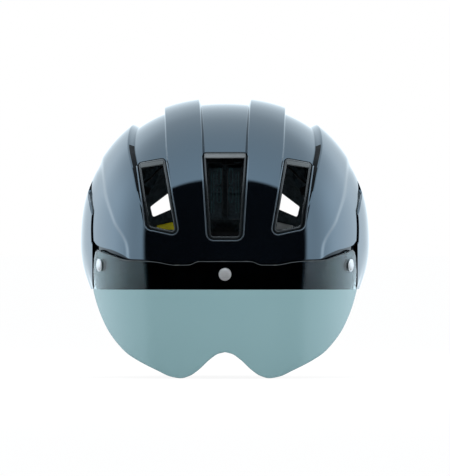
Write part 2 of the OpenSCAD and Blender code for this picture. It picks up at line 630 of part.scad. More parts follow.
// Straps lie tucked up inside the cavity. A point there by its place back and up
function inside_point(y, z, depth) =
    let (k = round_off((y - mid_y) / (half_l - depth)),
        q = max(0, z - belt_z) / ((crown_h - depth) * k))
    [(half_w - depth) * k * pow(1 - pow(q, roundness), 1 / roundness), y, z];
function unit(v) = v / norm(v);
function inward(y, z, depth) = unit(cross(
    inside_point(y, z + 1, depth) - inside_point(y, z - 1, depth),
    inside_point(y + 1, z, depth) - inside_point(y - 1, z, depth)));

// Flat webbing along a path of points, each with the direction out of its face
module webbing(path, faces) {
    n = len(path);
    loft([for (i = [0:n - 1])
        let (t = unit(path[min(n - 1, i + 1)] - path[max(0, i - 1)]),
            w = unit(cross(faces[i], t)) * strap_w / 2, f = unit(cross(t, w)) * strap_t / 2)
        [path[i] - w - f, path[i] - w + f, path[i] + w + f, path[i] + w - f]]);
}
module wall_webbing(places) webbing([for (p = places) inside_point(p[0], p[1], p[2])],
    [for (p = places) inward(p[0], p[1], p[2])]);

anchor_front = [-52, 31];
anchor_rear = [52, 28];
divider_y = 5;
divider_z = 68;
module strap_anchors() color([0.12, 0.12, 0.13]) both_sides() for (p = [anchor_front, anchor_rear]) {
    n = inward(p[0], p[1], liner_t);
    translate(inside_point(p[0], p[1], liner_t) - n * 4) rotate([0, 90, atan2(n[1], n[0])])
        cylinder(r = 7, h = 5, $fn = 48);
}
front_route = [[-51, 31, liner_t + 1.9], [-47, 33, strap_lay - 4], [-41, 37, strap_lay - 1],
    [-32, 43, strap_lay], [-22, 50, strap_lay], [-13, 57, strap_lay], [-6, 62, strap_lay]];
rear_route = [[51, 28, liner_t + 1.9], [49, 30, strap_lay - 4], [44, 35, strap_lay - 1],
    [36, 43, strap_lay], [28, 51, strap_lay], [22, 57, strap_lay], [16, 62, strap_lay]];
module front_strap() color([0.05, 0.05, 0.05]) wall_webbing(front_route);
module rear_strap() color([0.05, 0.05, 0.05]) wall_webbing(rear_route);

// Dividers join the two straps of a side; a cam lever clamps them
plate_t = 3;
divider_lay = strap_lay - plate_t / 2 - strap_t / 2 - 0.2;
divider_at = inside_point(divider_y, divider_z, divider_lay);
divider_in = inward(divider_y, divider_z, divider_lay);
divider_lean = atan2(-divider_in[2], -divider_in[0]);
module on_divider() translate(divider_at) rotate([0, -(90 + divider_lean), 0]) children();
hinge_at = [8, 0, 5];
lever_pin_r = 1.2;
barrel_r = 1.8;
module divider() color([0.08, 0.08, 0.09]) on_divider() difference() {
    union() {
        translate([0, 0, -plate_t / 2]) linear_extrude(plate_t) difference() {
            offset(r = 3) polygon([[-9, -12], [8, -8], [8, 8], [-9, 12]]);
            for (y = [-1, 1]) translate([-6, y * 7.5]) rotate(y * 40) square([2.2, 9], center = true);
            translate([9, 0]) square([1.8, strap_w + 0.6], center = true);
        }
        for (y = [-1, 1]) translate([hinge_at[0], y * 9.2, 0]) rotate([90, 0, 0]) linear_extrude(2, center = true)
            polygon([[-3.2, 1], [3, 1], [2.6, 7.2], [-2.6, 7.2]]);
    }
    translate([hinge_at[0], 15, hinge_at[2]]) rotate([90, 0, 0])
        cylinder(r = lever_pin_r + pin_gap, h = 30, $fn = 32);
}
module cam_lever() color([0.08, 0.08, 0.09]) on_divider() {
    translate([hinge_at[0], 7.9, hinge_at[2]]) rotate([90, 0, 0]) cylinder(r = barrel_r, h = 15.8, $fn = 48);
    translate([hinge_at[0], 10.2, hinge_at[2]]) rotate([90, 0, 0])
        cylinder(r = lever_pin_r, h = 20.4, $fn = 32);
    translate([hinge_at[0] - 17, -7.4, hinge_at[2] - 0.6]) cube([17, 14.8, 1.8]);
}

// The two chin straps arch over the cavity to the buckle
buckle_z = 97;
buckle_x = 26;
arch_lay = strap_lay - 1;
function arch_point(up) = dome_point(divider_y, up, arch_lay);
function on_plate(x, z) = divider_at + x * [-sin(divider_lean), 0, cos(divider_lean)] + z * divider_in;
function arch_face(up) = let (t = arch_point(up + 1) - arch_point(up - 1)) unit([t[2], 0, -t[0]]);
module chin_strap() color([0.05, 0.05, 0.05]) {
    ups = [41, 46, 51, 56, 61];
    webbing(concat([on_plate(11.4, 0)], [for (a = ups) arch_point(a)],
        [[32, divider_y, buckle_z + 0.9], [buckle_x + 0.3, divider_y, buckle_z]]),
        concat([-divider_in], [for (a = ups) arch_face(a)], [[0.15, 0, 1], [0, 0, 1]]));
}
socket_t = 8;
tongue_t = 5.2;
buckle_w = 24;
mouth_x = -2;
module on_buckle(z) translate([0, divider_y, buckle_z + z]) children();
module buckle_socket() color([0.08, 0.08, 0.09]) on_buckle(-socket_t / 2) difference() {
    linear_extrude(socket_t) offset(r = 2.5) translate([mouth_x + 2.5, -buckle_w / 2 + 2.5])
        square([buckle_x - mouth_x - 5, buckle_w - 5]);
    translate([mouth_x - 1, -9.2, (socket_t - tongue_t) / 2 - 0.3])
        cube([16.4, 18.4, tongue_t + 0.6]);
    for (y = [-1, 1]) translate([9.5, y * 12, -1]) cylinder(r = 4, h = socket_t + 2, $fn = 48);
    translate([19, -8.5, -1]) cube([3, 17, socket_t + 2]);
}
module buckle_tongue() color([0.08, 0.08, 0.09]) on_buckle(-tongue_t / 2) {
    difference() {
        linear_extrude(tongue_t) offset(r = 2) translate([-buckle_x + 2, -buckle_w / 2 + 2])
            square([buckle_x + mouth_x - 4.3, buckle_w - 4]);
        translate([-22, -8.5, -1]) cube([3, 17, tongue_t + 2]);
    }
    for (y = [-1, 1]) translate([-4, y * 7.4 - 1.5, 0.4]) cube([16, 3, tongue_t - 0.8]);
    translate([-4, -1.4, 0.4]) cube([17, 2.8, tongue_t - 0.8]);
}
module left() mirror([1, 0, 0]) children();

outer_shell();
rim_band();
eps_front();
eps_rear();
centre_vent_frame();
side_vent_frames();
helmet_magnets();
brow_pad();
crown_pad();
side_pads();
rear_pads();
head_band();
temple_pins();
height_socket();
strap_anchors();
left() front_strap();  // front_strap_left
front_strap();  // front_strap_right
left() rear_strap();  // rear_strap_left
rear_strap();  // rear_strap_right
left() divider();  // divider_left
divider();  // divider_right
left() cam_lever();  // cam_lever_left
cam_lever();  // cam_lever_right
left() chin_strap();  // chin_strap_left
chin_strap();  // chin_strap_right
buckle_socket();
buckle_tongue();
arm(-1);  // arm_left
arm(1);  // arm_right
rack_left();
rack_right();
rear_cradle();
dial_housing();
housing_cover();
fit_dial();
pinion();
height_strap();
cradle_pad();
visor_lens();
visor_rivets();
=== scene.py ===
"""Bicycle helmet with a magnetic wrap-round visor: looks, soft parts, camera and light."""
import math

import bmesh
import bpy
import numpy as np
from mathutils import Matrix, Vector
from mathutils.bvhtree import BVHTree


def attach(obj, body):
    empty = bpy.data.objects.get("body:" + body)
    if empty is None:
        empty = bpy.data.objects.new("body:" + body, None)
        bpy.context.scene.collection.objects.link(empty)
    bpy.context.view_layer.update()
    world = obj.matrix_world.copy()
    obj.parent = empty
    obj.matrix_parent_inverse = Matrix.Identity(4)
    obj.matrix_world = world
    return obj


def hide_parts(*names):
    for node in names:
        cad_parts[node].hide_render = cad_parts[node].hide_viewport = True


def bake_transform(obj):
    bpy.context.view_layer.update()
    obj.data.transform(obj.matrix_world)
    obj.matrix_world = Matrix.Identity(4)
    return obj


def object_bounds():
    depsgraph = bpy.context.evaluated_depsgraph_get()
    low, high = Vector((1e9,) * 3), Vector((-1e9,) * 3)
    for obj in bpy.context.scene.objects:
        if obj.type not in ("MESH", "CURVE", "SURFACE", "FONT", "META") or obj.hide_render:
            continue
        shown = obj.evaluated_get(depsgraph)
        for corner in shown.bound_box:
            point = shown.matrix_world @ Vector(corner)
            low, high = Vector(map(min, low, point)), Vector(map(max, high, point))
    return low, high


MM = 0.001
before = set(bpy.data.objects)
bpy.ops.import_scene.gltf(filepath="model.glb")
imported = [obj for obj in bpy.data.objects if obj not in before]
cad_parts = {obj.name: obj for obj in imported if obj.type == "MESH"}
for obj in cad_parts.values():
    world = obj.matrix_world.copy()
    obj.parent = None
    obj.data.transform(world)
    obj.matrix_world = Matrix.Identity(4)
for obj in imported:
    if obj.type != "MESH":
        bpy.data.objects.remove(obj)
cad_lo, cad_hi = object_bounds()
scene = bpy.context.scene

# The shell's sizes, in millimetres, as in the part's source
HALF_W = 107.7
HALF_L = 134.0
CROWN_Z = 142.9
BELT_Z = 34.4
MID_Y = 6.0
ROUND = 2.25
BROW_DROP = 150.0
NAPE_DROP = 98.0
SIDE_TUCK = 5.6
CROWN_H = CROWN_Z - BELT_Z
SHELL_T = 1.5
RIB_H = 4.5
SIDE_DROP = 1.2
NAPE_DIP = 21.0
LINER_T = 28.0
LAY_GAP = 0.15
LENS_T = 2.0
VISOR_SEAT = 3.2
LENS_TOP_Z = 21.1
LENS_LEAN = 0.12
LEAN_LENGTH = 30.0
# The lens is 0.2 mm narrower at each side than the solid, to clear the shell
LENS_HALF_W = 97.8
SEAT_HALF_W = 98.6
FAR = 300.0


def mix(a, b, f):
    return a + (b - a) * f


def ease(f):
    f = np.clip(f, 0, 1)
    return f * f * (3 - 2 * f)


def unit(v):
    return v / np.linalg.norm(v)


def circle(count):
    return np.linspace(0, 2 * math.pi, count + 1)[:-1]


def hermite(t, h, p, q, mp, mq):
    """A cubic over a span h from p to q, with a slope at each end."""
    return ((2 * t ** 3 - 3 * t ** 2 + 1) * p + (t ** 3 - 2 * t ** 2 + t) * h * mp
            + (3 * t ** 2 - 2 * t ** 3) * q + (t ** 3 - t ** 2) * h * mq)


def smooth_table(table):
    """A smooth curve through a table's points that never overshoots them."""
    x, y = np.array(table, float).T
    h = np.diff(x)
    d = np.diff(y) / h
    m = np.zeros_like(x)
    for i in range(1, len(x) - 1):
        if d[i - 1] * d[i] > 0:
            a = 2 * h[i] + h[i - 1]
            b = h[i] + 2 * h[i - 1]
            m[i] = (a + b) / (a / d[i - 1] + b / d[i])
    m[0] = d[0]
    m[-1] = d[-1]

    def curve(q):
        q = np.clip(q, x[0], x[-1])
        i = np.clip(np.searchsorted(x, q) - 1, 0, len(h) - 1)
        return hermite((q - x[i]) / h[i], h[i], y[i], y[i + 1], m[i], m[i + 1])
    return curve


# Where channels and ribs end: degrees round from the brow, then millimetres from the middle
middle_channel = smooth_table([(-90, 12.6), (1, 12.6), (32, 16.2), (90, 19), (130, 18), (180, 15),
                               (270, 15)])
inner_rib = smooth_table([(-90, 35.6), (4, 35.6), (20, 41), (40, 44.6), (90, 46), (130, 43), (180, 36),
                          (270, 36)])
outer_channel = smooth_table([(-90, 56), (5, 59), (24, 65.5), (50, 71), (90, 68), (130, 63), (180, 54),
                              (270, 54)])
outer_rib = smooth_table([(-90, 66), (-2, 72.7), (10, 82.7), (30, 89.8), (60, 92), (90, 92.8), (130, 88),
                          (180, 76), (270, 70)])

# Softening of the outline's power law, which the solids don't have
SOFT = 0.1
BEND_TOP = (1 + SOFT ** 2) ** (ROUND / 2) - SOFT ** ROUND


def bend(q):
    """The outline's power law, softened at zero so that the gloss shows no flat line there."""
    return (np.power(q * q + SOFT ** 2, ROUND / 2) - SOFT ** ROUND) / BEND_TOP


def bend_slope(q):
    return ROUND * q * np.power(q * q + SOFT ** 2, ROUND / 2 - 1) / BEND_TOP


def unbend(v):
    """The inverse of bend, at least 0."""
    v = np.maximum(0, v)
    return np.sqrt(np.maximum(0, np.power(v * BEND_TOP + SOFT ** ROUND, 2 / ROUND) - SOFT ** 2))


def round_off(s):
    """How much of the outline's size is left at the share s of the way out."""
    return unbend(1 - bend(np.abs(s)))


def reach(a, h, c, n):
    """How far the outline lies in the direction (c, n), with half axes a and h."""
    r = np.power(np.power(np.abs(c) / a, ROUND) + np.power(np.abs(n) / h, ROUND), -1 / ROUND)
    for _ in range(5):
        u = r * c / a
        v = r * n / h
        r = r - (bend(u) + bend(v) - 1) / (c / a * bend_slope(u) + n / h * bend_slope(v))
    return r


def drop_at(th):
    """The lower half axis at an angle, from the brow's to the nape's."""
    turn = np.where(np.abs(th) > 180, 360 - np.abs(th), np.abs(th))
    return mix(NAPE_DROP, BROW_DROP, ease((135 - turn) / 90))


def tuck(x, y, z):
    """A point's x after the sides are drawn in, low down behind the brow."""
    low = np.clip((BELT_Z - z) / BELT_Z, 0, 1)
    back = ease((y + 62) / 37)
    wide = (x / HALF_W) ** 2
    return x - np.sign(x) * SIDE_TUCK * low * low * back * wide


def skin(x, t, th):
    """A point of the surface at depth t under the ribs, th degrees round from the brow."""
    s = x / HALF_W
    k = round_off(s)
    c = np.cos(np.radians(th))
    n = np.sin(np.radians(th))
    a = (HALF_L - t) * k
    h = (np.where(n >= 0, CROWN_H, drop_at(th)) - t) * k
    r = reach(a, h, c, n)
    y = MID_Y - r * c
    z = BELT_Z + r * n
    return np.stack([tuck(s * (HALF_W - t), y, z), y, z], -1)


def brow(x, t, z):
    """The same surface where it faces forward, by its real x and z."""
    x = np.asarray(x, float)
    z = np.asarray(z, float)
    k = round_off(x / (HALF_W - t))
    h = (np.where(z >= BELT_Z, CROWN_H, BROW_DROP) - t) * k
    q = np.minimum(1, np.abs(z - BELT_Z) / h)
    y = MID_Y - (HALF_L - t) * k * unbend(1 - bend(q))
    return np.stack(np.broadcast_arrays(tuck(x, y, z), y, z), -1)


def channel_fade(th):
    """The channels' share of their full depth, which ends at brow and nape."""
    return ease((th - 8) / 14) * ease((174 - th) / 14)


def side_fade(th):
    """The same for the low step between the outer rib and the side."""
    return ease((th + 12) / 10) * ease((192 - th) / 10)


def new_object(name, data):
    ob = bpy.data.objects.new(name, data)
    scene.collection.objects.link(ob)
    return ob


def to_object(name, verts, faces, smooth=True):
    me = bpy.data.meshes.new(name)
    me.from_pydata([tuple(v) for v in np.asarray(verts, float) * MM], [], [tuple(f) for f in faces])
    me.validate()
    if smooth:
        me.shade_smooth()
    return new_object(name, me)


def loft_faces(rings, n, around=False):
    """Quads between rings of n points, and from the last ring to the first if it goes around."""
    faces = []
    for i in range(rings if around else rings - 1):
        a, b = i * n, (i + 1) % rings * n
        for j in range(n):
            k = (j + 1) % n
            faces.append((a + j, b + j, b + k, a + k))
    return faces


def loft(name, loops):
    """A solid through closed loops, clockwise seen from +X, with its ends closed by quads."""
    loops = np.asarray(loops, float)
    r, n = loops.shape[:2]
    faces = loft_faces(r, n)
    for at, turned in ((0, True), ((r - 1) * n, False)):
        for j in range(math.ceil(n / 2) - 1):
            a, b, c, d = at + j, at + j + 1, at + n - 1 - j, at + n - 2 - j
            cap = (a, b, d, c) if d > b else (a, b, c)
            faces.append(cap if turned else cap[::-1])
    return to_object(name, loops.reshape(-1, 3), faces)


# Places across a rounded rib edge, and how much of the step is reached there
EDGE_REACH = 1.5
EDGE = np.array([-EDGE_REACH, -1.1, -0.85, -0.65, -0.45, -0.25, -0.08,
                 0.08, 0.25, 0.45, 0.65, 0.85, 1.1, EDGE_REACH])
EDGE_STEP = ease((EDGE + 0.85) / 1.7)
WALL_WIDE = 1.5
SIDE_WIDE = 2.2
SIDE_FADE_FROM = 0.6
SIDE_FADE_SPAN = 0.35


def half_stations(th):
    """Half widths and depths across the shell at one angle, with the rib edges rounded."""
    a, b, c, d = middle_channel(th), inner_rib(th), outer_channel(th), outer_rib(th)
    low = RIB_H * channel_fade(th)
    side = SIDE_DROP * side_fade(th)
    grow = EDGE_REACH * (WALL_WIDE - 1)

    def edge(at, wide, before, after):
        return [(at + wide * e, mix(before, after, f)) for e, f in zip(EDGE, EDGE_STEP)]

    def run(p, q, depth, count):
        f = (np.arange(count) + 1) / (count + 1)
        return [(v, depth) for v in mix(p + EDGE_REACH, q - EDGE_REACH, f)]

    out = [(0.0, low)]
    out += [(v, low) for v in (a - EDGE_REACH) * np.array([0.2, 0.4, 0.6, 0.8])]
    out += edge(a, 1, low, 0)
    out += run(a, b - grow, 0, 8)
    out += edge(b, WALL_WIDE, 0, low)
    out += run(b + grow, c - grow, low, 7)
    out += edge(c, WALL_WIDE, low, 0)
    out += run(c + grow, d - 1.8, 0, 6)
    out += edge(d, SIDE_WIDE, 0, side)
    f = np.sin(np.radians(np.linspace(0, 90, 26)))[1:]
    for v in mix(d + EDGE_REACH * SIDE_WIDE, HALF_W * 0.99999, f):
        fade = ease((SIDE_FADE_FROM - round_off(v / HALF_W)) / SIDE_FADE_SPAN)
        out.append((v, side * (1 - fade)))
    return out


def egg(name, depth, row_step=2.0):
    """The helmet's whole outside at a depth, as a closed egg to be cut."""
    turn = np.arange(0, 360, row_step)
    th = np.where(turn > 270, turn - 360, turn)
    xs, ds = np.array([half_stations(t) for t in th]).transpose(2, 0, 1)
    right = skin(xs, ds + depth, np.broadcast_to(th[:, None], xs.shape))
    left = right * np.array([-1, 1, 1])
    whole = np.concatenate([left[:, :0:-1], right], 1)
    return loft(name, whole.transpose(1, 0, 2))


def turn_out(ob):
    """Turns every face of a closed mesh outwards."""
    bm = bmesh.new()
    bm.from_mesh(ob.data)
    bmesh.ops.recalc_face_normals(bm, faces=bm.faces)
    bm.to_mesh(ob.data)
    bm.free()


def prism(name, outline, axis, lo, hi):
    """A prism of a counter-clockwise outline, between two planes of an axis."""
    pts = [{"x": (v, p, q), "y": (p, v, q), "z": (p, q, v)}[axis] for v in (lo, hi) for p, q in outline]
    n = len(outline)
    faces = [tuple(range(n)), tuple(range(2 * n - 1, n - 1, -1))]
    faces += [(j, (j + 1) % n, (j + 1) % n + n, j + n)[::-1] for j in range(n)]
    ob = to_object(name, pts, faces, smooth=False)
    turn_out(ob)
    return ob


def boolean(target, cutter, operation="DIFFERENCE"):
    mod = target.modifiers.new("cut", "BOOLEAN")
    mod.operation = operation
    mod.solver = "MANIFOLD"
    mod.object = cutter
    dg = bpy.context.evaluated_depsgraph_get()
    me = bpy.data.meshes.new_from_object(target.evaluated_get(dg))
    target.modifiers.clear()
    old = target.data
    target.data = me
    bpy.data.meshes.remove(old)


def drop(*obs):
    for ob in obs:
        me = ob.data
        bpy.data.objects.remove(ob)
        if me and me.users == 0:
            bpy.data.meshes.remove(me)


POST_SIDES = 48


def convex_outline(posts):
    """The hull of round posts as one outline, counter-clockwise."""
    turns = [2 * math.pi * i / POST_SIDES for i in range(POST_SIDES)]
    pts = sorted({(x + r * math.cos(a), z + r * math.sin(a)) for x, z, r in posts for a in turns})

    def half(seq):
        out = []
        for p in seq:
            while len(out) > 1 and ((out[-1][0] - out[-2][0]) * (p[1] - out[-2][1])
                                    - (out[-1][1] - out[-2][1]) * (p[0] - out[-2][0])) <= 1e-9:
                out.pop()
            out.append(p)
        return out[:-1]
    return half(pts) + half(pts[::-1])


# Vents as round posts: two places and a radius each. The temple slots' radii are shares of a width.
TOP_R = 3.4
CENTRE_CORNERS = [(-13.5, 98.3, TOP_R), (13.5, 98.3, TOP_R), (-8.2, 41.5, 5), (8.2, 41.5, 5)]
SIDE_CORNERS = [(46.8, 93.9, TOP_R), (61.4, 91.3, TOP_R), (39.4, 45.3, 4.6), (53.5, 49.0, 5.2)]
REAR_SIDE = [(42, 60.8, 1.4), (53.6, 55.8, 1.4), (54.9, 61.2, 1.4), (42, 71.0, 1.4)]
REAR_CENTRE = [(-9, 108, 4), (9, 108, 4), (-8, 122, 4), (8, 122, 4)]
TEMPLE_PATH = [(-54, 36, 0.5), (-50, 57, 0.5), (-34, 68, 0.7), (-12, 76, 0.9)]
TEMPLE_W = 5.0
TOP_CENTRE = [(0, 30, 9), (0, 62, 9)]


def flip(posts):
    return [(-x, z, r) for x, z, r in posts]


def vent_cutters():
    """Prisms that open every vent."""
    cuts = [(CENTRE_CORNERS, "y", -160, -55)]
    cuts += [(posts, "y", -160, -40) for posts in (SIDE_CORNERS, flip(SIDE_CORNERS))]
    cuts += [(posts, "y", 50, 160) for posts in (REAR_SIDE, flip(REAR_SIDE), REAR_CENTRE)]
    cuts += [([(x, 28, 7), (x, 66, 5)], "z", 60, 200) for x in (-56, 56)]
    cuts += [(TOP_CENTRE, "z", 60, 200)]
    for lo, hi in ((60, 140), (-140, -60)):
        for i in range(3):
            cuts.append(([(y, z, TEMPLE_W * r) for y, z, r in TEMPLE_PATH[i:i + 2]], "x", lo, hi))
    return [prism("cut", convex_outline(posts), axis, lo, hi) for posts, axis, lo, hi in cuts]


REAR_RIM = [(0, -NAPE_DIP), (20, -NAPE_DIP + 3), (36, -NAPE_DIP / 2), (52, 0), (75, 6), (100, 8)]
REAR_RIM_Z = 8
EAR_Y = 5
EAR_RUN = 35


def rim_cutters():
    """What lies under the rim: level in front, rising behind the ears, dipping at the nape."""
    ys = np.linspace(EAR_Y + EAR_RUN - 1, EAR_Y, 18)
    rise = REAR_RIM_Z * ease((ys - EAR_Y) / EAR_RUN)
    end = EAR_Y + EAR_RUN
    side = [(-FAR, -FAR), (end, -FAR), (end, REAR_RIM_Z)] + list(zip(ys, rise)) + [(-FAR, 0)]
    rear = smooth_table(REAR_RIM)
    back = [(-FAR, -FAR), (FAR, -FAR), (FAR, REAR_RIM_Z)]
    back += [(x, float(rear(abs(x)))) for x in np.linspace(-100, 100, 81)[::-1]]
    back += [(-FAR, REAR_RIM_Z)]
    return [prism("cut", side, "x", -FAR / 2, FAR / 2), prism("cut", back, "y", end, FAR)]


# The seat's and the lens's upper edges, against the distance from the middle
SEAT_TOP = smooth_table([(0, 0), (19, 0), (27, -2.5), (37, -2.6), (50, -0.4), (61, 0.4), (70, 0.8),
                         (76, 4), (84, 7.5), (90, 9), (95, 11), (98.6, 16)])
LENS_TOP = smooth_table([(0, 0), (19, 0), (27, -2.6), (37, -2.7), (50, -0.6), (61, 0.4), (73, 0.9),
                         (84, 4.4), (90, 6.4), (94.5, 8.4), (96.4, 6.6), (97.4, 1), (98, -10)])


def seat_z(x):
    """The height of the seat's upper edge, just over the lens."""
    return LENS_TOP_Z + 0.8 + SEAT_TOP(np.abs(x))


def seat_cutter(grow, back):
    """What lies before the visor's seat, wider and higher by grow, as far as a plane."""
    wide = SEAT_HALF_W + grow
    xs = np.linspace(-SEAT_HALF_W, SEAT_HALF_W, 201)
    top = [(x * wide / SEAT_HALF_W, float(seat_z(x)) + grow) for x in xs[::-1]]
    return prism("cut", [(-wide, -FAR), (wide, -FAR)] + top, "y", -FAR, back)


# In metres, and as the cosine between a face and the normal it may take
NEAR_SOURCE = 0.0003
NORMAL_LEAN = 0.6


def take_normals(ob, source):
    """Faces on the uncut source keep its smooth normals, so the cuts leave no shading."""
    src = source.data
    co = np.empty((len(src.vertices), 3))
    nor = np.empty_like(co)
    src.vertices.foreach_get("co", co.ravel())
    src.vertices.foreach_get("normal", nor.ravel())
    fans = [tuple(p.vertices) for p in src.polygons]
    tris = [(v[0], v[i], v[i + 1]) for v in fans for i in range(1, len(v) - 1)]
    tree = BVHTree.FromPolygons(co.tolist(), tris)
    me = ob.data
    taken = []
    for v in me.vertices:
        hit, _, found, dist = tree.find_nearest(v.co)
        if found is None or dist > NEAR_SOURCE:
            taken.append(None)
            continue
        a, b, c = tris[found]
        w = bary(np.array(hit), co[a], co[b], co[c])
        taken.append(Vector(nor[a] * w[0] + nor[b] * w[1] + nor[c] * w[2]).normalized())
    me.update()
    normals = smooth_by_angle(me, 35)
    for p in me.polygons:
        for li in p.loop_indices:
            m = taken[me.loops[li].vertex_index]
            if m is not None and m.dot(p.normal) > NORMAL_LEAN:
                normals[li] = m
    me.normals_split_custom_set(normals)


def bary(p, a, b, c):
    """The weights of a triangle's corners at a point in it."""
    v0, v1, v2 = b - a, c - a, p - a
    d00, d01, d11 = v0 @ v0, v0 @ v1, v1 @ v1
    d20, d21 = v2 @ v0, v2 @ v1
    den = d00 * d11 - d01 * d01
    if abs(den) < 1e-24:
        return 1.0, 0.0, 0.0
    v = (d11 * d20 - d01 * d21) / den
    w = (d00 * d21 - d01 * d20) / den
    return 1 - v - w, v, w


def smooth_by_angle(me, degrees):
    """Corner normals that join only faces within an angle of each other."""
    limit = math.cos(math.radians(degrees))
    around = [[] for _ in me.vertices]
    for p in me.polygons:
        for v in p.vertices:
            around[v].append(p.index)
    fn = [p.normal.copy() for p in me.polygons]
    area = [p.area for p in me.polygons]
    out = [None] * len(me.loops)
    for p in me.polygons:
        for li in p.loop_indices:
            m = Vector()
            for q in around[me.loops[li].vertex_index]:
                if fn[q].dot(fn[p.index]) > limit:
                    m += fn[q] * area[q]
            out[li] = m.normalized() if m.length > 1e-12 else fn[p.index]
    return out


def shade(ob, degrees):
    """Smooth shading that leaves edges sharper than an angle."""
    ob.data.shade_smooth()
    ob.data.normals_split_custom_set(smooth_by_angle(ob.data, degrees))
    return ob


def make_shell():
    """The egg, hollowed and cut along the rim, the seat and the vents."""
    full = egg("shell_full", 0)
    ob = new_object("shell", full.data.copy())
    inner = egg("shell_inner", SHELL_T, 4.0)
    cutters = [inner] + rim_cutters() + [seat_cutter(0, -45)] + vent_cutters()
    for c in cutters:
        boolean(ob, c)
    take_normals(ob, full)
    drop(*cutters, full)
    return ob


shell = make_shell()


def cavity(depth):
    """The room for the head: the plain dome at a depth, run on straight down."""
    rows, cols = 72, 64
    s = 0.99995 * np.sin(np.radians(np.linspace(-90, 90, cols)))
    th = np.linspace(0, 180, rows)
    k = round_off(s)[:, None]
    a = (HALF_L - depth) * k
    h = (CROWN_H - depth) * k
    c = np.cos(np.radians(th))[None]
    n = np.sin(np.radians(th))[None]
    r = reach(a, h, c, n)
    x = np.broadcast_to(s[:, None] * (HALF_W - depth), r.shape)
    dome = np.stack([x, MID_Y - r * c, BELT_Z + r * n], -1)
    ends = dome[:, [0, -1]]
    ends[..., 2] = -FAR
    return loft("cut", np.concatenate([ends[:, :1], dome, ends[:, 1:]], 1))


def make_liner():
    """The foam as one block under the shell, set back behind the seat."""
    ob = egg("foam_liner", SHELL_T + LAY_GAP, 3.0)
    step = egg("cut", VISOR_SEAT + SHELL_T + 0.45, 3.0)
    front = seat_cutter(3, -25)
    boolean(ob, front)
    boolean(ob, step, "UNION")
    pocket = prism("cut", [(-34, 80), (34, 80), (34, 120), (-34, 120)], "z", -FAR, 16)
    cutters = [cavity(LINER_T)] + rim_cutters() + [pocket] + vent_cutters()
    for c in cutters:
        boolean(ob, c)
    drop(front, step, *cutters)
    return shade(ob, 30)


liner = make_liner()


def face_point(x, t, z):
    """The brow's surface, run on below the rim in its own slope to a steady lean."""
    top = brow(x, t, np.maximum(z, 0))
    slope = (brow(x, t, 0.0)[..., 1] - brow(x, t, 2.0)[..., 1]) / 2
    base = brow(x, t, 0.0)[..., 1]
    fade = 1 - np.exp(np.minimum(z, 0) / LEAN_LENGTH)
    low = base - LENS_LEAN * z + (slope - LENS_LEAN) * LEAN_LENGTH * fade
    y = np.where(z >= 0, top[..., 1], low)
    return np.stack([np.where(z >= 0, top[..., 0], x), y, z], -1)


SHEET_EDGE = 0.5


def sheet(name, xs, zlow, zhigh, out, thick, split=None, rows=(8, 8)):
    """A curved sheet that faces forward, its lower and upper edges rounded over."""
    edge = SHEET_EDGE
    loops = []
    for x, lo, hi in zip(xs, zlow, zhigh):
        if split is None:
            z = np.linspace(lo + edge, hi - edge, rows[0] + rows[1] + 1)
        else:
            z = np.concatenate([np.linspace(min(lo + edge, -0.05), split, rows[0] + 1),
                                np.linspace(split, hi - edge, rows[1] + 1)[1:]])
        turn = [(0.15, 0.35), (0.5, 0.0), (0.85, 0.35)]
        pts = [(out, v) for v in z]
        pts += [(out + thick * f, hi - edge * g * 0.8) for f, g in turn]
        pts += [(out + thick, v) for v in z[::-1]]
        pts += [(out + thick * f, lo + edge * g * 0.8) for f, g in turn[::-1]]
        loops.append([face_point(x, d, v) for d, v in pts])
    return loft(name, np.array(loops))


FOOT = smooth_table([(0, -46.1), (5, -47.3), (11.2, -51.5), (19.7, -59.4), (26, -63.6), (32.6, -65.4),
                     (39.8, -64.3), (50, -59.8), (58.3, -55.8), (66, -51.6), (72.7, -47.1), (80, -39.6),
                     (87, -29.9), (92, -19.5), (95.5, -10), (98, -0.7)])


def make_lens():
    f = np.sin(np.radians(np.linspace(-90, 90, 141)))
    xs = LENS_HALF_W * mix(f, np.linspace(-1, 1, 141), 0.45)
    lo = FOOT(np.abs(xs))
    hi = LENS_TOP_Z + LENS_TOP(np.abs(xs))
    return shade(sheet("lens", xs, lo, hi, 0.0, LENS_T, split=0.0, rows=(26, 10)), 50)


lens = make_lens()
BAND_HALF_W = 94.5
BAND_OVER_SEAT = 1.4


def make_band():
    f = np.linspace(-1, 1, 81)
    xs = BAND_HALF_W * mix(np.sin(f * math.pi / 2), f, 0.5)
    top = seat_z(xs) + BAND_OVER_SEAT
    return shade(sheet("front_band", xs, np.zeros(81), top, VISOR_SEAT, SHELL_T), 50)


band = make_band()
ARC_STEPS = 8
STRAIGHT_POINTS = 10


def arc(c, start, cut):
    """A quarter turn round a corner, clockwise from an angle."""
    r = max(0.05, c[2] - cut)
    turns = [math.radians(start - 90 * i / ARC_STEPS) for i in range(ARC_STEPS + 1)]
    return [(c[0] + r * math.cos(a), c[1] + r * math.sin(a)) for a in turns]


def outline(c, cut):
    """The rounded outline round four corners, set in by cut, clockwise from the upper left one."""
    parts = [arc(c[0], 180, cut), arc(c[1], 90, cut), arc(c[3], 0, cut), arc(c[2], 270, cut)]
    pts = []
    for i, part in enumerate(parts):
        pts += part
        a = np.array(part[-1])
        b = np.array(parts[(i + 1) % 4][0])
        pts += [tuple(mix(a, b, (j + 1) / (STRAIGHT_POINTS + 1))) for j in range(STRAIGHT_POINTS)]
    return np.array(pts)


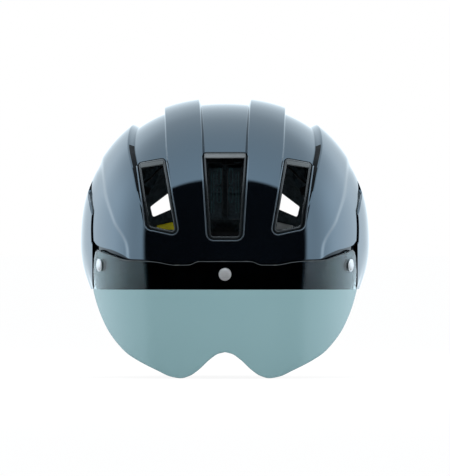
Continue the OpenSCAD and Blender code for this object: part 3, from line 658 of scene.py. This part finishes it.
def ring(name, corners, profile):
    """A closed moulding round a vent's outline: a profile of insets and depths."""
    rings = []
    for cut, depth in profile:
        p = outline(corners, cut)
        rings.append(brow(p[:, 0], depth, p[:, 1]))
    pts = np.array(rings).transpose(1, 0, 2)
    faces = loft_faces(len(pts), len(profile), True)
    ob = to_object(name, pts.reshape(-1, 3), [(a, d, c, b) for a, b, c, d in faces])
    turn_out(ob)
    return shade(ob, 42)


def tube(name, path, radius, closed, sides):
    """A thin round cord along a path that lies on a surface."""
    pts = np.array(path, float)
    n = len(pts)
    rings = []
    for i in range(n):
        ahead = (i + 1) % n if closed else min(n - 1, i + 1)
        t = unit(pts[ahead] - pts[i - 1 if closed else max(0, i - 1)])
        a = unit(np.cross(t, (0, 1, 0)))
        b = np.cross(t, a)
        rings.append([pts[i] + radius * (a * math.cos(q) + b * math.sin(q)) for q in circle(sides)])
    faces = loft_faces(n, sides, closed)
    if not closed:
        faces += [tuple(range(sides - 1, -1, -1)), tuple(range((n - 1) * sides, n * sides))]
    ob = to_object(name, np.array(rings).reshape(-1, 3), faces)
    turn_out(ob)
    ob.data.shade_smooth()
    return ob


def flip_corners(corners):
    """The mirrored corners, in the order that outline takes them."""
    turned = flip(corners)
    return [turned[i] for i in (1, 0, 3, 2)]


def join(name, obs):
    """One mesh object from several."""
    bm = bmesh.new()
    for ob in obs:
        bm.from_mesh(ob.data)
    me = bpy.data.meshes.new(name)
    bm.to_mesh(me)
    bm.free()
    drop(*obs)
    return new_object(name, me)


# Insets and depths round the section of a vent's frame
FRAME_PROFILE = [(0.45, 4.2), (0.6, 3.5), (1.0, 3.2), (1.6, 3.1), (2.2, 3.2), (2.6, 3.5), (2.8, 4.2),
                 (2.9, 12.2), (0.45, 12.2)]


def lip(name, corners):
    """A thin raised lip down a vent's side, round its foot and up the other side."""
    p = outline(corners, -0.5)
    after_top = 2 * ARC_STEPS + STRAIGHT_POINTS + 1
    p = np.concatenate([p[after_top:], p[:1]])
    return tube(name, brow(p[:, 0], 0.3, p[:, 1]), 0.55, False, 10)


VENTS = {"centre": CENTRE_CORNERS, "right": SIDE_CORNERS, "left": flip_corners(SIDE_CORNERS)}
frames = {key: ring(key + "_frame", c, FRAME_PROFILE) for key, c in VENTS.items()}
lips = [lip(key + "_lip", c) for key, c in VENTS.items()]


BAR_DEPTH = 3.0
BAR_T = 5


def boxy(v, power):
    """A sine or cosine pushed towards 1, so that a circle gets flat sides."""
    return math.copysign(abs(v) ** power, v)


def bar(name, x0, x1, z0, z1, height):
    """A rounded cross bar under a vent's top edge, following the brow."""
    loops = []
    for i in range(25):
        f = i / 24
        x, z = mix(x0, x1, f), mix(z0, z1, f)
        r = []
        for a in circle(16):
            u = boxy(math.cos(a), 0.5)
            v = boxy(math.sin(a), 0.5)
            r.append(brow(x, BAR_DEPTH + BAR_T / 2 - v * BAR_T / 2, z - height / 2 - u * height / 2))
        loops.append(r[::-1])
    return shade(loft(name, np.array(loops)), 40)


bars = [bar("centre_bar", -15.2, 15.2, 100.8, 100.8, 3.8),
        bar("right_bar", 45.6, 62.6, 96.3, 93.6, 4.0),
        bar("left_bar", -62.6, -45.6, 93.6, 96.3, 4.0)]


# Soft parts


def crown(f):
    """The rise of a cushion across its width: steep at the edges and nearly flat between."""
    return np.power(np.maximum(0, 1 - np.power(np.abs(2 * f - 1), 3)), 0.5)


def pad_height(u, v, full):
    return 1 + (full - 1) * crown(u) * crown(v)


def cushion(name, place, nu, nv, full, seams=(), seam_depth=0.0):
    """A crowned cushion laid by a function of two fractions and a height, with sewn channels."""
    v = np.linspace(0, 1, nv + 1)
    loops = []
    for a in np.linspace(0, 1, nu + 1):
        rise = pad_height(a, v, full)
        for axis, at, width in seams:
            q = a if axis == "u" else v
            dip = seam_depth * np.exp(-((q - at) / width) ** 2)
            rise = rise - dip * np.minimum(1, crown(a) * crown(v) * 1.6)
        rim = [*zip(v, rise), (1.0, 0.5), *((b, 0.0) for b in v[::-1]), (0.0, 0.5)]
        loops.append([place(a, b, d) for b, d in rim])
    ob = loft(name, np.array(loops, float))
    ob.data.shade_smooth()
    return ob


def wall_point(depth, a):
    """A point of the widest line at a depth, an angle round from the brow."""
    t = math.radians(a)
    r = ((abs(math.sin(t)) / (HALF_W - depth)) ** ROUND
         + (abs(math.cos(t)) / (HALF_L - depth)) ** ROUND) ** (-1 / ROUND)
    return r * math.sin(t), MID_Y - r * math.cos(t)


def dome_point(y, up, depth):
    """A point of the plain dome at a depth, across it at one y, an angle up from the side."""
    k = float(round_off((y - MID_Y) / (HALF_L - depth)))
    e = 2 / ROUND
    c, s = math.cos(math.radians(up)), math.sin(math.radians(up))
    return (math.copysign((HALF_W - depth) * k * abs(c) ** e, c), y,
            BELT_Z + (CROWN_H - depth) * k * abs(s) ** e)


def nape_point(x, z, depth):
    """A point of the dome's rear half at a depth."""
    k = float(round_off(x / (HALF_W - depth)))
    q = (z - BELT_Z) / ((CROWN_H - depth) * k)
    return x, MID_Y + (HALF_L - depth) * k * (1 - q ** ROUND) ** (1 / ROUND), z


# Where the fit parts lie: depths under the shell's outside, thicknesses and heights
BAND_LAY = LINER_T + 2.6
BAND_T = 1.4
BAND_Z = 15.0
PAD_T = 6.0
PAD_LAY = LINER_T + 0.9
DIAL_Z = -1.0
RACK_FRONT = wall_point(BAND_LAY, 180)[1] - 2
CRADLE_FRONT = RACK_FRONT - 2.8 - LAY_GAP - 2.8
REAR_PAD_X = 7
REAR_PAD_HALF = 5.5
REAR_PAD_LOW = 52
REAR_PAD_HIGH = 92


# Where each pad's points lie, from two fractions across it and a height over what it lies on


def brow_place(u, v, d):
    x, y = wall_point(BAND_LAY + BAND_T + LAY_GAP + d, mix(44, -44, u))
    return x, y, BAND_Z + mix(-8, 8, v)


def crown_place(u, v, d):
    return dome_point(mix(14, -44, u), mix(72, 108, v), PAD_LAY + d)


def side_place(u, v, d):
    return dome_point(mix(50, 23, u), mix(9, 34, v), PAD_LAY + d)


def mirrored(place):
    def other(u, v, d):
        x, y, z = place(1 - u, v, d)
        return -x, y, z
    return other


def rear_place(x):
    def place(u, v, d):
        z = mix(REAR_PAD_LOW, REAR_PAD_HIGH, v)
        return nape_point(x + mix(-REAR_PAD_HALF, REAR_PAD_HALF, u), z, PAD_LAY + d)
    return place


def cradle_place(x):
    def place(u, v, d):
        return x + mix(-7, 7, u), CRADLE_FRONT - LAY_GAP - d, DIAL_Z + 2 + mix(-13, 13, v)
    return place


def pad(place, nu, nv, seams, seam_depth=1.8, full=PAD_T):
    return cushion("pad", place, nu, nv, full, seams, seam_depth)


QUARTERS = [("u", 0.25, 0.02), ("u", 0.5, 0.02), ("u", 0.75, 0.02)]
ACROSS = [("v", 0.5, 0.03)]
pads = {
    "brow_pad": [pad(brow_place, 90, 20, QUARTERS)],
    "crown_pad": [pad(crown_place, 56, 44, [("u", 0.5, 0.025)] + ACROSS)],
    "side_pads": [pad(lay, 40, 36, ACROSS, 1.6) for lay in (side_place, mirrored(side_place))],
    "rear_pads": [pad(rear_place(x), 20, 50, [("v", 0.5, 0.02)]) for x in (-REAR_PAD_X, REAR_PAD_X)],
    "cradle_pad": [pad(cradle_place(x), 26, 40, ACROSS, 1.2, 4.5) for x in (-19, 19)],
}


def on_rear_pad(side, x, z):
    """A point just over a rear pad's surface."""
    u = (x - (side * REAR_PAD_X - REAR_PAD_HALF)) / (2 * REAR_PAD_HALF)
    v = (z - REAR_PAD_LOW) / (REAR_PAD_HIGH - REAR_PAD_LOW)
    return nape_point(x, z, PAD_LAY + float(pad_height(u, v, PAD_T)) + 0.1)


def pad_loop(side, z):
    """A rounded upright loop of piping on a rear pad."""
    return [on_rear_pad(side, side * 4.4 + 1.5 * boxy(math.cos(a), 0.7), z + 6 * boxy(math.sin(a), 0.7))
            for a in circle(32)]


piping = []
for side in (-1, 1):
    for z in (85, 71):
        piping.append(tube("piping", pad_loop(side, z), 0.45, True, 8))
    for x in (8.4, 10.4):
        line = [on_rear_pad(side, side * x, z) for z in np.linspace(88, 57, 24)]
        piping.append(tube("piping", line, 0.4, False, 8))


def patch(name, corners):
    """A thin foam tab inside, on the liner's rear wall, from its four corners. The grey one is painted
    light: a pale patch for daylight seen through a rear vent.
    """
    (x0, z0), (x1, z1), (x2, z2), (x3, z3) = corners

    def place(u, v, d):
        x = mix(mix(x0, x1, u), mix(x3, x2, u), v)
        z = mix(mix(z0, z1, u), mix(z3, z2, u), v)
        return nape_point(x, z, LINER_T + 0.15 + d)
    return cushion(name, place, 10, 6, 1.0)


tabs_and_light_patch = {
    "yellow": patch("yellow_tab", [(-51.2, 44.6), (-38.6, 44.6), (-38.2, 50.6), (-51.4, 47.6)]),
    # Painted light: the grey patch stands for daylight seen through a rear vent
    "grey": patch("grey_painted_light_patch", [(38.6, 44.6), (51.2, 44.6), (51.4, 47.6), (38.2, 50.6)]),
}


def inside_point(y, z, depth):
    """A point of the dome's right wall at a depth."""
    k = float(round_off((y - MID_Y) / (HALF_L - depth)))
    q = max(0.0, z - BELT_Z) / ((CROWN_H - depth) * k)
    return np.array([(HALF_W - depth) * k * (1 - q ** ROUND) ** (1 / ROUND), y, z])


def inward(y, z, depth):
    """The direction from that wall into the helmet."""
    return unit(np.cross(inside_point(y, z + 1, depth) - inside_point(y, z - 1, depth),
                         inside_point(y + 1, z, depth) - inside_point(y - 1, z, depth)))


STRAP_W = 15.0
STRAP_T = 1.4
STRAP_LAY = 38.0
# The webbing's section, as shares of half its width and half its thickness
STRAP_TOP = [(-0.985, 0.7), (-0.94, 1), (-0.6, 1), (-0.2, 1), (0.2, 1), (0.6, 1), (0.94, 1), (0.985, 0.7)]
STRAP_SECTION = np.array([(-1, 0)] + STRAP_TOP + [(1, 0)] + [(a, -b) for a, b in STRAP_TOP[::-1]])


def curve_through(points, count):
    """Even points on a smooth curve through a few given ones."""
    p = np.array(points, float)
    t = np.concatenate([[0], np.cumsum(np.linalg.norm(np.diff(p, axis=0), axis=1))])
    m = np.gradient(p, t, axis=0)
    out = []
    for v in np.linspace(0, t[-1], count):
        i = min(len(t) - 2, max(0, int(np.searchsorted(t, v)) - 1))
        h = t[i + 1] - t[i]
        out.append(hermite((v - t[i]) / h, h, p[i], p[i + 1], m[i], m[i + 1]))
    return np.array(out)


def webbing(name, path, faces):
    """Flat webbing along a path, with UVs in strap widths along and across it."""
    loops = []
    for i in range(len(path)):
        t = unit(path[min(len(path) - 1, i + 1)] - path[max(0, i - 1)])
        w = unit(np.cross(faces[i], t))
        g = unit(np.cross(t, w))
        loops.append([path[i] + w * (a * STRAP_W / 2) + g * (b * STRAP_T / 2) for a, b in STRAP_SECTION])
    ob = loft(name, np.array(loops))
    me = ob.data
    uv = me.uv_layers.new(name="UVMap")
    along = np.concatenate([[0], np.cumsum(np.linalg.norm(np.diff(path, axis=0), axis=1))])
    m = len(STRAP_SECTION)
    for lp in me.loops:
        v = lp.vertex_index
        uv.data[lp.index].uv = (along[v // m] / STRAP_W, STRAP_SECTION[v % m][0] / 2 + 0.5)
    return shade(ob, 50)


# The straps' routes on the right wall: y, z and depth
FRONT_ROUTE = [(-51, 31, LINER_T + 1.9), (-47, 33, STRAP_LAY - 4), (-41, 37, STRAP_LAY - 1),
               (-32, 43, STRAP_LAY), (-22, 50, STRAP_LAY), (-13, 57, STRAP_LAY), (-6, 62, STRAP_LAY)]
REAR_ROUTE = [(51, 28, LINER_T + 1.9), (49, 30, STRAP_LAY - 4), (44, 35, STRAP_LAY - 1),
              (36, 43, STRAP_LAY), (28, 51, STRAP_LAY), (22, 57, STRAP_LAY), (16, 62, STRAP_LAY)]


def strap(name, path, face, side):
    """Webbing along a path of the right side, mirrored for the left."""
    if side > 0:
        return webbing(name, path, face)
    mirror = np.array([-1, 1, 1])
    return webbing(name, (path * mirror)[::-1], (face * mirror)[::-1])


def wall_strap(name, route, side):
    places = curve_through(route, 60)
    path, face = (np.array([find(*p) for p in places]) for find in (inside_point, inward))
    return strap(name, path, face, side)


DIVIDER_Y = 5.0
DIVIDER_Z = 68.0
DIVIDER_LAY = STRAP_LAY - 1.5 - STRAP_T / 2 - 0.2
DIVIDER_AT = inside_point(DIVIDER_Y, DIVIDER_Z, DIVIDER_LAY)
DIVIDER_IN = inward(DIVIDER_Y, DIVIDER_Z, DIVIDER_LAY)
DIVIDER_LEAN = math.atan2(-DIVIDER_IN[2], -DIVIDER_IN[0])
DIVIDER_UP = np.array([-math.sin(DIVIDER_LEAN), 0, math.cos(DIVIDER_LEAN)])
BUCKLE_Z = 97.0
BUCKLE_X = 26.0


def chin_strap(name, side):
    """From the divider up under the dome to the buckle."""
    lay = STRAP_LAY - 1
    pts = [DIVIDER_AT + 11.4 * DIVIDER_UP]
    pts += [dome_point(DIVIDER_Y, a, lay) for a in (41, 46, 51, 56, 61)]
    pts += [(32, DIVIDER_Y, BUCKLE_Z + 0.9), (BUCKLE_X + 0.3, DIVIDER_Y, BUCKLE_Z)]
    path = curve_through(pts, 60)
    face = np.array([unit(np.array((-t[2], 0, t[0]))) for t in np.gradient(path, axis=0)])
    return strap(name, path, face, side)


straps = {}
for key, side in (("left", -1), ("right", 1)):
    straps["front_strap_" + key] = wall_strap("front_webbing_" + key, FRONT_ROUTE, side)
    straps["rear_strap_" + key] = wall_strap("rear_webbing_" + key, REAR_ROUTE, side)
    straps["chin_strap_" + key] = chin_strap("chin_webbing_" + key, side)


# Materials


def fresh_tree(owner):
    """The emptied node tree of a material or a world."""
    owner.use_nodes = True
    owner.node_tree.nodes.clear()
    return owner.node_tree


def node(nt, kind, **values):
    """A node with its settings and inputs set. An input takes a value or another node's output."""
    n = nt.nodes.new(kind)
    for key, v in values.items():
        if key not in n.inputs:
            setattr(n, key, v)
        elif isinstance(v, bpy.types.NodeSocket):
            nt.links.new(v, n.inputs[key])
        else:
            n.inputs[key].default_value = v
    return n


def material(name, **values):
    """A material with its tree, its shader and the object's own coordinates."""
    m = bpy.data.materials.new(name)
    nt = fresh_tree(m)
    sh = node(nt, "ShaderNodeBsdfPrincipled", **values)
    node(nt, "ShaderNodeOutputMaterial", Surface=sh.outputs[0])
    return m, nt, sh, nt.nodes.new("ShaderNodeTexCoord").outputs["Object"]


def calc(nt, op, *values):
    """A maths node's output, from numbers and sockets."""
    n = node(nt, "ShaderNodeMath", operation=op)
    for i, v in enumerate(values):
        if isinstance(v, (int, float)):
            n.inputs[i].default_value = v
        else:
            nt.links.new(v, n.inputs[i])
    return n.outputs[0]


def map_range(nt, value, lo, hi, low=0.0, high=1.0, shape="LINEAR"):
    """A number that runs from low to high while a value runs from lo to hi."""
    ends = {"From Min": lo, "From Max": hi, "To Min": low, "To Max": high}
    return node(nt, "ShaderNodeMapRange", Value=value, interpolation_type=shape, **ends).outputs[0]


def mix_shader(nt, fac, a, b):
    n = nt.nodes.new("ShaderNodeMixShader")
    for socket, source in zip(n.inputs, (fac, a, b)):
        nt.links.new(source, socket)
    return n.outputs[0]


def ramp(nt, fac, stops):
    """A two-stop colour ramp's output."""
    r = node(nt, "ShaderNodeValToRGB", Fac=fac)
    for el, (place, colour) in zip(r.color_ramp.elements, stops):
        el.position = place
        el.color = (*colour, 1)
    return r.outputs[0]


def noise(nt, at, scale, detail=4.0):
    return node(nt, "ShaderNodeTexNoise", Vector=at, Scale=scale, Detail=detail).outputs["Fac"]


def bump(nt, sh, height, strength, distance):
    """One more layer of bump on top of what the shader has."""
    b = node(nt, "ShaderNodeBump", Strength=strength, Distance=distance, Height=height)
    last = sh.inputs["Normal"]
    if last.is_linked:
        nt.links.new(last.links[0].from_socket, b.inputs["Normal"])
    nt.links.new(b.outputs[0], last)


# The middle part of a noise, over which colours and roughness run from one end to the other
SPREAD = (0.3, 0.7)


def spread_colour(nt, sh, fac, dark, light):
    nt.links.new(ramp(nt, fac, zip(SPREAD, (dark, light))), sh.inputs["Base Color"])


def spread_rough(nt, sh, fac, low, high):
    nt.links.new(map_range(nt, fac, *SPREAD, low, high), sh.inputs["Roughness"])


def times(colour, factor):
    return tuple(v * factor for v in colour)


def gloss_black(name, base=(0.0010, 0.0016, 0.0026), ior=2.0):
    """Near-black polished plastic whose reflections are slightly blue."""
    m, nt, sh, at = material(name, **{"IOR": ior, "Specular Tint": (0.62, 0.82, 1.0, 1)})
    spread_colour(nt, sh, noise(nt, at, 14), base, times(base, 1.5))
    spread_rough(nt, sh, noise(nt, at, 60, 6), 0.03, 0.07)
    bump(nt, sh, noise(nt, at, 900, 2), 0.02, 0.0002)
    return m


def moulded(name, base, rough=(0.35, 0.5), grain=2600, strength=0.25, specular=0.5):
    """Plastic with a fine moulded grain."""
    m, nt, sh, at = material(name, **{"Specular IOR Level": specular})
    spread_colour(nt, sh, noise(nt, at, 40), times(base, 0.8), times(base, 1.25))
    spread_rough(nt, sh, noise(nt, at, 90), *rough)
    bump(nt, sh, noise(nt, at, grain, 3), strength, 0.0002)
    return m


def foam(name):
    """Expanded foam: fused beads, each of its own tone, with grooves between them."""
    m, nt, sh, at = material(name)
    bead = node(nt, "ShaderNodeTexVoronoi", Vector=at, Scale=330.0)
    groove = node(nt, "ShaderNodeTexVoronoi", Vector=at, Scale=330.0, feature="DISTANCE_TO_EDGE")
    tone = ramp(nt, bead.outputs["Color"], [(0.2, (0.019, 0.031, 0.040)), (0.8, (0.038, 0.060, 0.073))])
    nt.links.new(tone, sh.inputs["Base Color"])
    spread_rough(nt, sh, noise(nt, at, 120), 0.45, 0.62)
    height = ramp(nt, groove.outputs["Distance"], [(0.0, (0, 0, 0)), (0.18, (1, 1, 1))])
    bump(nt, sh, height, 0.5, 0.0005)
    return m


def fabric(name, base):
    """Knitted cover fabric."""
    m, nt, sh, at = material(name, **{"Roughness": 0.92, "Sheen Weight": 0.25, "Sheen Roughness": 0.4})
    stitch = node(nt, "ShaderNodeTexVoronoi", Vector=at, Scale=1100.0)
    spread_colour(nt, sh, noise(nt, at, 500, 5), times(base, 0.7), times(base, 1.5))
    bump(nt, sh, stitch.outputs["Distance"], 0.7, 0.0004)
    bump(nt, sh, noise(nt, at, 160), 0.25, 0.0008)
    return m


def woven(name, base):
    """Webbing: ribs across the strap and lines along it, from its own UVs."""
    m, nt, sh, at = material(name, **{"Roughness": 0.72, "Sheen Weight": 0.2})
    uv = node(nt, "ShaderNodeMapping", Vector=at.node.outputs["UV"], Scale=(9.0, 14.0, 1.0)).outputs[0]
    waves = [node(nt, "ShaderNodeTexWave", Vector=uv, bands_direction=way, Scale=size, Distortion=0.3)
             for way, size in (("X", 2.0), ("Y", 1.0))]
    both = calc(nt, "MULTIPLY", *[wave.outputs["Fac"] for wave in waves])
    tone = ramp(nt, both, [(0.0, times(base, 0.6)), (0.7, times(base, 1.8))])
    nt.links.new(tone, sh.inputs["Base Color"])
    bump(nt, sh, both, 0.8, 0.0004)
    return m


def steel(name, rough=(0.2, 0.34), metal=1.0):
    """Steel brushed along one direction."""
    m, nt, sh, at = material(name, Metallic=metal)
    stretched = node(nt, "ShaderNodeMapping", Vector=at, Scale=(30, 30, 1400)).outputs[0]
    brushed = noise(nt, stretched, 3.0, 3)
    spread_colour(nt, sh, brushed, (0.55, 0.56, 0.57), (0.72, 0.73, 0.74))
    spread_rough(nt, sh, brushed, *rough)
    bump(nt, sh, brushed, 0.12, 0.0002)
    return m


def tinted_clear(name):
    """The lens over the shell: tinted, glossy and clear."""
    m, nt, sh, at = material(name, **{"Transmission Weight": 1.0, "Roughness": 0.0, "IOR": 1.3})
    spread_colour(nt, sh, noise(nt, at, 22, 1), (0.44, 0.60, 0.58), (0.50, 0.56, 0.62))
    return m


def mirror_coat(name):
    """The lens below the rim: a silvery blue-green coat that lets little through."""
    m, nt, sh, at = material(name, Roughness=0.24, IOR=1.5, Alpha=0.95)
    spread_colour(nt, sh, noise(nt, at, 7, 2), (0.235, 0.385, 0.41), (0.25, 0.405, 0.43))
    return m


M = {
    "shell": gloss_black("shell_gloss_black"),
    "band": gloss_black("front_band_black", ior=1.33),
    # Painted shade: a matt, barely reflective black on the outer ribs' inner walls stands for the shadow
    # in the groove beside them
    "wall": moulded("channel_wall_painted_shade", (0.003, 0.004, 0.005), (0.45, 0.6), 1800, 0.1, 0.08),
    "lip": gloss_black("vent_lip_black", (0.03, 0.035, 0.04)),
    "foam": foam("foam_black"),
    "frame": moulded("vent_frame_satin", (0.012, 0.015, 0.017), (0.18, 0.3), 1800, 0.12),
    "bar": moulded("vent_bar_grey", (0.115, 0.125, 0.13), (0.25, 0.4), 1800, 0.3),
    "side_bar": moulded("side_bar_grey", (0.055, 0.062, 0.064), (0.25, 0.4), 1800, 0.3),
    "fabric": fabric("pad_knit", (0.026, 0.044, 0.056)),
    "piping": fabric("pad_piping", (0.03, 0.085, 0.1)),
    "webbing": woven("strap_weave", (0.012, 0.012, 0.013)),
    "plastic": moulded("fit_plastic", (0.018, 0.019, 0.021)),
    "buckle": moulded("buckle_plastic", (0.014, 0.014, 0.016), (0.3, 0.45)),
    "dial": moulded("dial_plastic", (0.016, 0.017, 0.019), (0.4, 0.6), 1500, 0.5),
    "pinion": moulded("pinion_plastic", (0.6, 0.6, 0.56), (0.3, 0.45)),
    "steel": steel("magnet_steel"),
    "cap": steel("cap_steel", (0.36, 0.48), 0.62),
    "clear": tinted_clear("visor_tint"),
    "coat": mirror_coat("visor_coat"),
    "edge": moulded("visor_edge", (0.07, 0.08, 0.085), (0.2, 0.3), 1200, 0.1),
    "yellow": moulded("patch_yellow", (0.97, 0.84, 0.012), (0.5, 0.6)),
    # Painted light: a pale grey for daylight seen through a rear vent
    "grey": moulded("patch_painted_light_grey", (0.45, 0.47, 0.48), (0.5, 0.6)),
}


def dress(ob, *looks):
    ob.data.materials.clear()
    for key in looks:
        ob.data.materials.append(M[key])


def put(ob, body, looks, slot, *cad):
    """Dresses a piece, sets what it rides on and hides the solids it replaces. Its slot is not used."""
    dress(ob, *looks)
    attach(ob, body)
    if cad:
        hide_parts(*cad)


# The outer ribs' inner walls, matt and barely reflective as painted shade for the groove's shadow: past
# this x, facing in, between these degrees from the brow
WALL_X = 52
WALL_FACING = 0.2
WALL_FROM = 5
WALL_TO = 49
LENS_EDGE = 0.45
EDGE_SLOT = 2


def shell_look(p):
    """0 for gloss, 1 for the matt walls beside the side vents, painted shade for their groove's shadow."""
    x, y, z = p.center / MM
    faces_in = p.normal.x * math.copysign(1, x) < -WALL_FACING
    turn = math.degrees(math.atan2(z - BELT_Z, MID_Y - y))
    return int(faces_in and abs(x) > WALL_X and WALL_FROM < turn < WALL_TO)


def lens_look(p):
    """0 for the clear part over the shell, 1 for the coat below it, 2 for the pale top edge."""
    x, z = p.center.x / MM, p.center.z / MM
    if z > LENS_TOP_Z + LENS_TOP(abs(x)) - LENS_EDGE:
        return EDGE_SLOT
    return int(z < 0)


# The shell's second look is the painted shade on the outer ribs' inner walls
put(shell, "helmet", ["shell", "wall"], "shell_gloss", "outer_shell")
put(liner, "helmet", ["foam"], "eps_foam", "eps_front", "eps_rear")
put(band, "helmet", ["band"], "band_plastic", "rim_band")
put(lens, "visor", ["clear", "coat", "edge"], "visor_tint", "visor_lens")
for ob, look in ((shell, shell_look), (lens, lens_look)):
    for p in ob.data.polygons:
        p.material_index = look(p)
put(frames["centre"], "helmet", ["frame"], "vent_plastic", "centre_vent_frame")
sides = join("side_frames", [frames["left"], frames["right"]])
put(sides, "helmet", ["frame"], "vent_plastic", "side_vent_frames")
put(join("vent_lips", lips), "helmet", ["lip"], "shell_gloss")
put(bars[0], "helmet", ["bar"], "vent_plastic")
put(join("side_bars", bars[1:]), "helmet", ["side_bar"], "vent_plastic")
for key, obs in pads.items():
    ob = join(key + "_soft", obs)
    ob.data.shade_smooth()
    body = "cradle" if key == "cradle_pad" else "helmet"
    put(ob, body, ["fabric"], "pad_fabric", key)
for key, ob in straps.items():
    if key == "chin_strap_left":
        dress(ob, "webbing")
        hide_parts(key)
        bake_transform(ob)
    else:
        put(ob, "helmet", ["webbing"], "strap_webbing", key)
put(join("rear_pad_piping", piping), "helmet", ["piping"], "pad_fabric")
for key, ob in tabs_and_light_patch.items():
    put(ob, "helmet", [key], "pad_fabric")

# Looks of the solids that are shown as they are
CAD_LOOKS = {
    "steel": ["helmet_magnets"],
    "cap": ["visor_rivets"],
    "dial": ["fit_dial"],
    "pinion": ["pinion"],
    "buckle": ["divider_left", "divider_right", "cam_lever_left", "cam_lever_right", "buckle_socket",
               "buckle_tongue"],
    "plastic": ["head_band", "temple_pins", "height_socket", "strap_anchors", "arm_left", "arm_right",
                "rack_left", "rack_right", "rear_cradle", "dial_housing", "housing_cover", "height_strap"],
}
for look, keys in CAD_LOOKS.items():
    for key in keys:
        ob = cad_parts[key]
        if not ob.material_slots:
            ob.data.materials.append(None)
        for slot in ob.material_slots:
            slot.material = M[look]


# Camera, floor and light

# Millimetres a pixel, the picture's height and the row where the rim's height lies, in pixels
PX = 0.748
PICTURE_H = 476
RIM_ROW = 289
DIST = 9.0
SENSOR = 36
cam_data = bpy.data.cameras.new("camera")
cam_data.sensor_width = SENSOR
cam_data.lens = SENSOR * (DIST * 1000 + MID_Y) / (PICTURE_H * PX)
cam_data.clip_end = 100
cam = new_object("camera", cam_data)
cam.location = (0, -DIST, (RIM_ROW - PICTURE_H / 2) * PX * MM)
cam.rotation_euler = (math.pi / 2, 0, 0)
scene.camera = cam


FLOOR_HALF = 60
FLOOR_GAP = 0.0004
FLOOR_WHITE = 1.07
FLOOR_SEEN = 0.85


def make_floor():
    """A white floor that keeps the shadow and that gloss doesn't reflect."""
    me = bpy.data.meshes.new("floor")
    h = FLOOR_HALF
    me.from_pydata([(-h, -h, 0), (h, -h, 0), (h, h, 0), (-h, h, 0)], [], [(0, 1, 2, 3)])
    floor = new_object("floor", me)
    floor.location = (0, 0, float(cad_lo.z) - FLOOR_GAP)
    floor.visible_glossy = False
    m = bpy.data.materials.new("floor_pale")
    nt = fresh_tree(m)
    diff = node(nt, "ShaderNodeBsdfDiffuse", Color=(0.82, 0.82, 0.82, 1)).outputs[0]
    glow = node(nt, "ShaderNodeEmission", Color=(1, 1, 1, 1), Strength=FLOOR_WHITE).outputs[0]
    clear = nt.nodes.new("ShaderNodeBsdfTransparent").outputs[0]
    path = nt.nodes.new("ShaderNodeLightPath").outputs
    most = calc(nt, "MAXIMUM", path["Is Camera Ray"], path["Is Transmission Ray"])
    shown = mix_shader(nt, calc(nt, "MULTIPLY", most, FLOOR_SEEN), diff, glow)
    bounced = calc(nt, "GREATER_THAN", path["Glossy Depth"], 0.5)
    node(nt, "ShaderNodeOutputMaterial", Surface=mix_shader(nt, bounced, shown, clear))
    me.materials.append(m)


make_floor()


def studio():
    """A pale room. What gloss reflects is dark in front, pale above, behind and at both sides."""
    scene.world = bpy.data.worlds.new("studio")
    nt = fresh_tree(scene.world)
    path = nt.nodes.new("ShaderNodeLightPath").outputs
    way = nt.nodes.new("ShaderNodeTexCoord").outputs["Generated"]
    dx, dy, dz = node(nt, "ShaderNodeSeparateXYZ", Vector=way).outputs

    def soft(value, lo, hi):
        return map_range(nt, value, lo, hi, shape="SMOOTHSTEP")

    def background(colour, strength):
        return node(nt, "ShaderNodeBackground", Color=(*colour, 1), Strength=strength).outputs[0]

    ahead = calc(nt, "MULTIPLY", dy, -1)
    side = calc(nt, "ARCTAN2", calc(nt, "ABSOLUTE", dx), ahead)
    rise = calc(nt, "ARCTAN2", dz, ahead)
    at_side = soft(side, math.radians(69), math.radians(75))
    above = soft(rise, math.radians(50), math.radians(54))
    flank = calc(nt, "MULTIPLY", soft(side, math.radians(80), math.radians(115)), soft(dz, 0.75, 0.25))
    strength = calc(nt, "MULTIPLY", calc(nt, "MAXIMUM", at_side, above), soft(dz, -0.6, 0.0))
    for fac, scale, base in ((flank, 1.2, 1.7), (dy, -0.34, 1.0), (soft(dy, 0.72, 0.98), -0.3, 1.0)):
        strength = calc(nt, "MULTIPLY", strength, calc(nt, "MULTIPLY_ADD", fac, scale, base))
    gloss = background((0.785, 0.91, 1.0), calc(nt, "ADD", strength, 0.004))
    plain = background((0.93, 0.97, 1.0), 0.72)
    white = background((1, 1, 1), 1.0)
    far = calc(nt, "GREATER_THAN", path["Glossy Depth"], 0.5)
    bounced = calc(nt, "MAXIMUM", far, path["Is Glossy Ray"])
    mirrored = calc(nt, "MULTIPLY", bounced, calc(nt, "SUBTRACT", 1, path["Is Diffuse Ray"]))
    seen = calc(nt, "MAXIMUM", path["Is Camera Ray"], path["Is Transmission Ray"])
    shown = mix_shader(nt, mirrored, mix_shader(nt, seen, plain, white), gloss)
    node(nt, "ShaderNodeOutputWorld", Surface=shown)


studio()


LAMP_AIM = Vector((0, 0, 0.03))


def lamp(name, at, size, power):
    """A soft lamp that neither gloss nor glass shows."""
    data = bpy.data.lights.new(name, "AREA")
    data.shape = "RECTANGLE"
    data.size, data.size_y = size
    data.energy = power
    ob = new_object(name, data)
    ob.location = at
    ob.rotation_euler = (LAMP_AIM - Vector(at)).to_track_quat("-Z", "Y").to_euler()
    ob.visible_glossy = False
    ob.visible_transmission = False


lamp("key", (-0.7, -1.1, 1.3), (0.8, 0.8), 9)
lamp("fill", (0.9, -0.9, 0.8), (0.8, 0.8), 5)
lamp("back", (0.2, 1.2, 1.1), (1.0, 0.6), 8)

scene.view_settings.view_transform = "Standard"
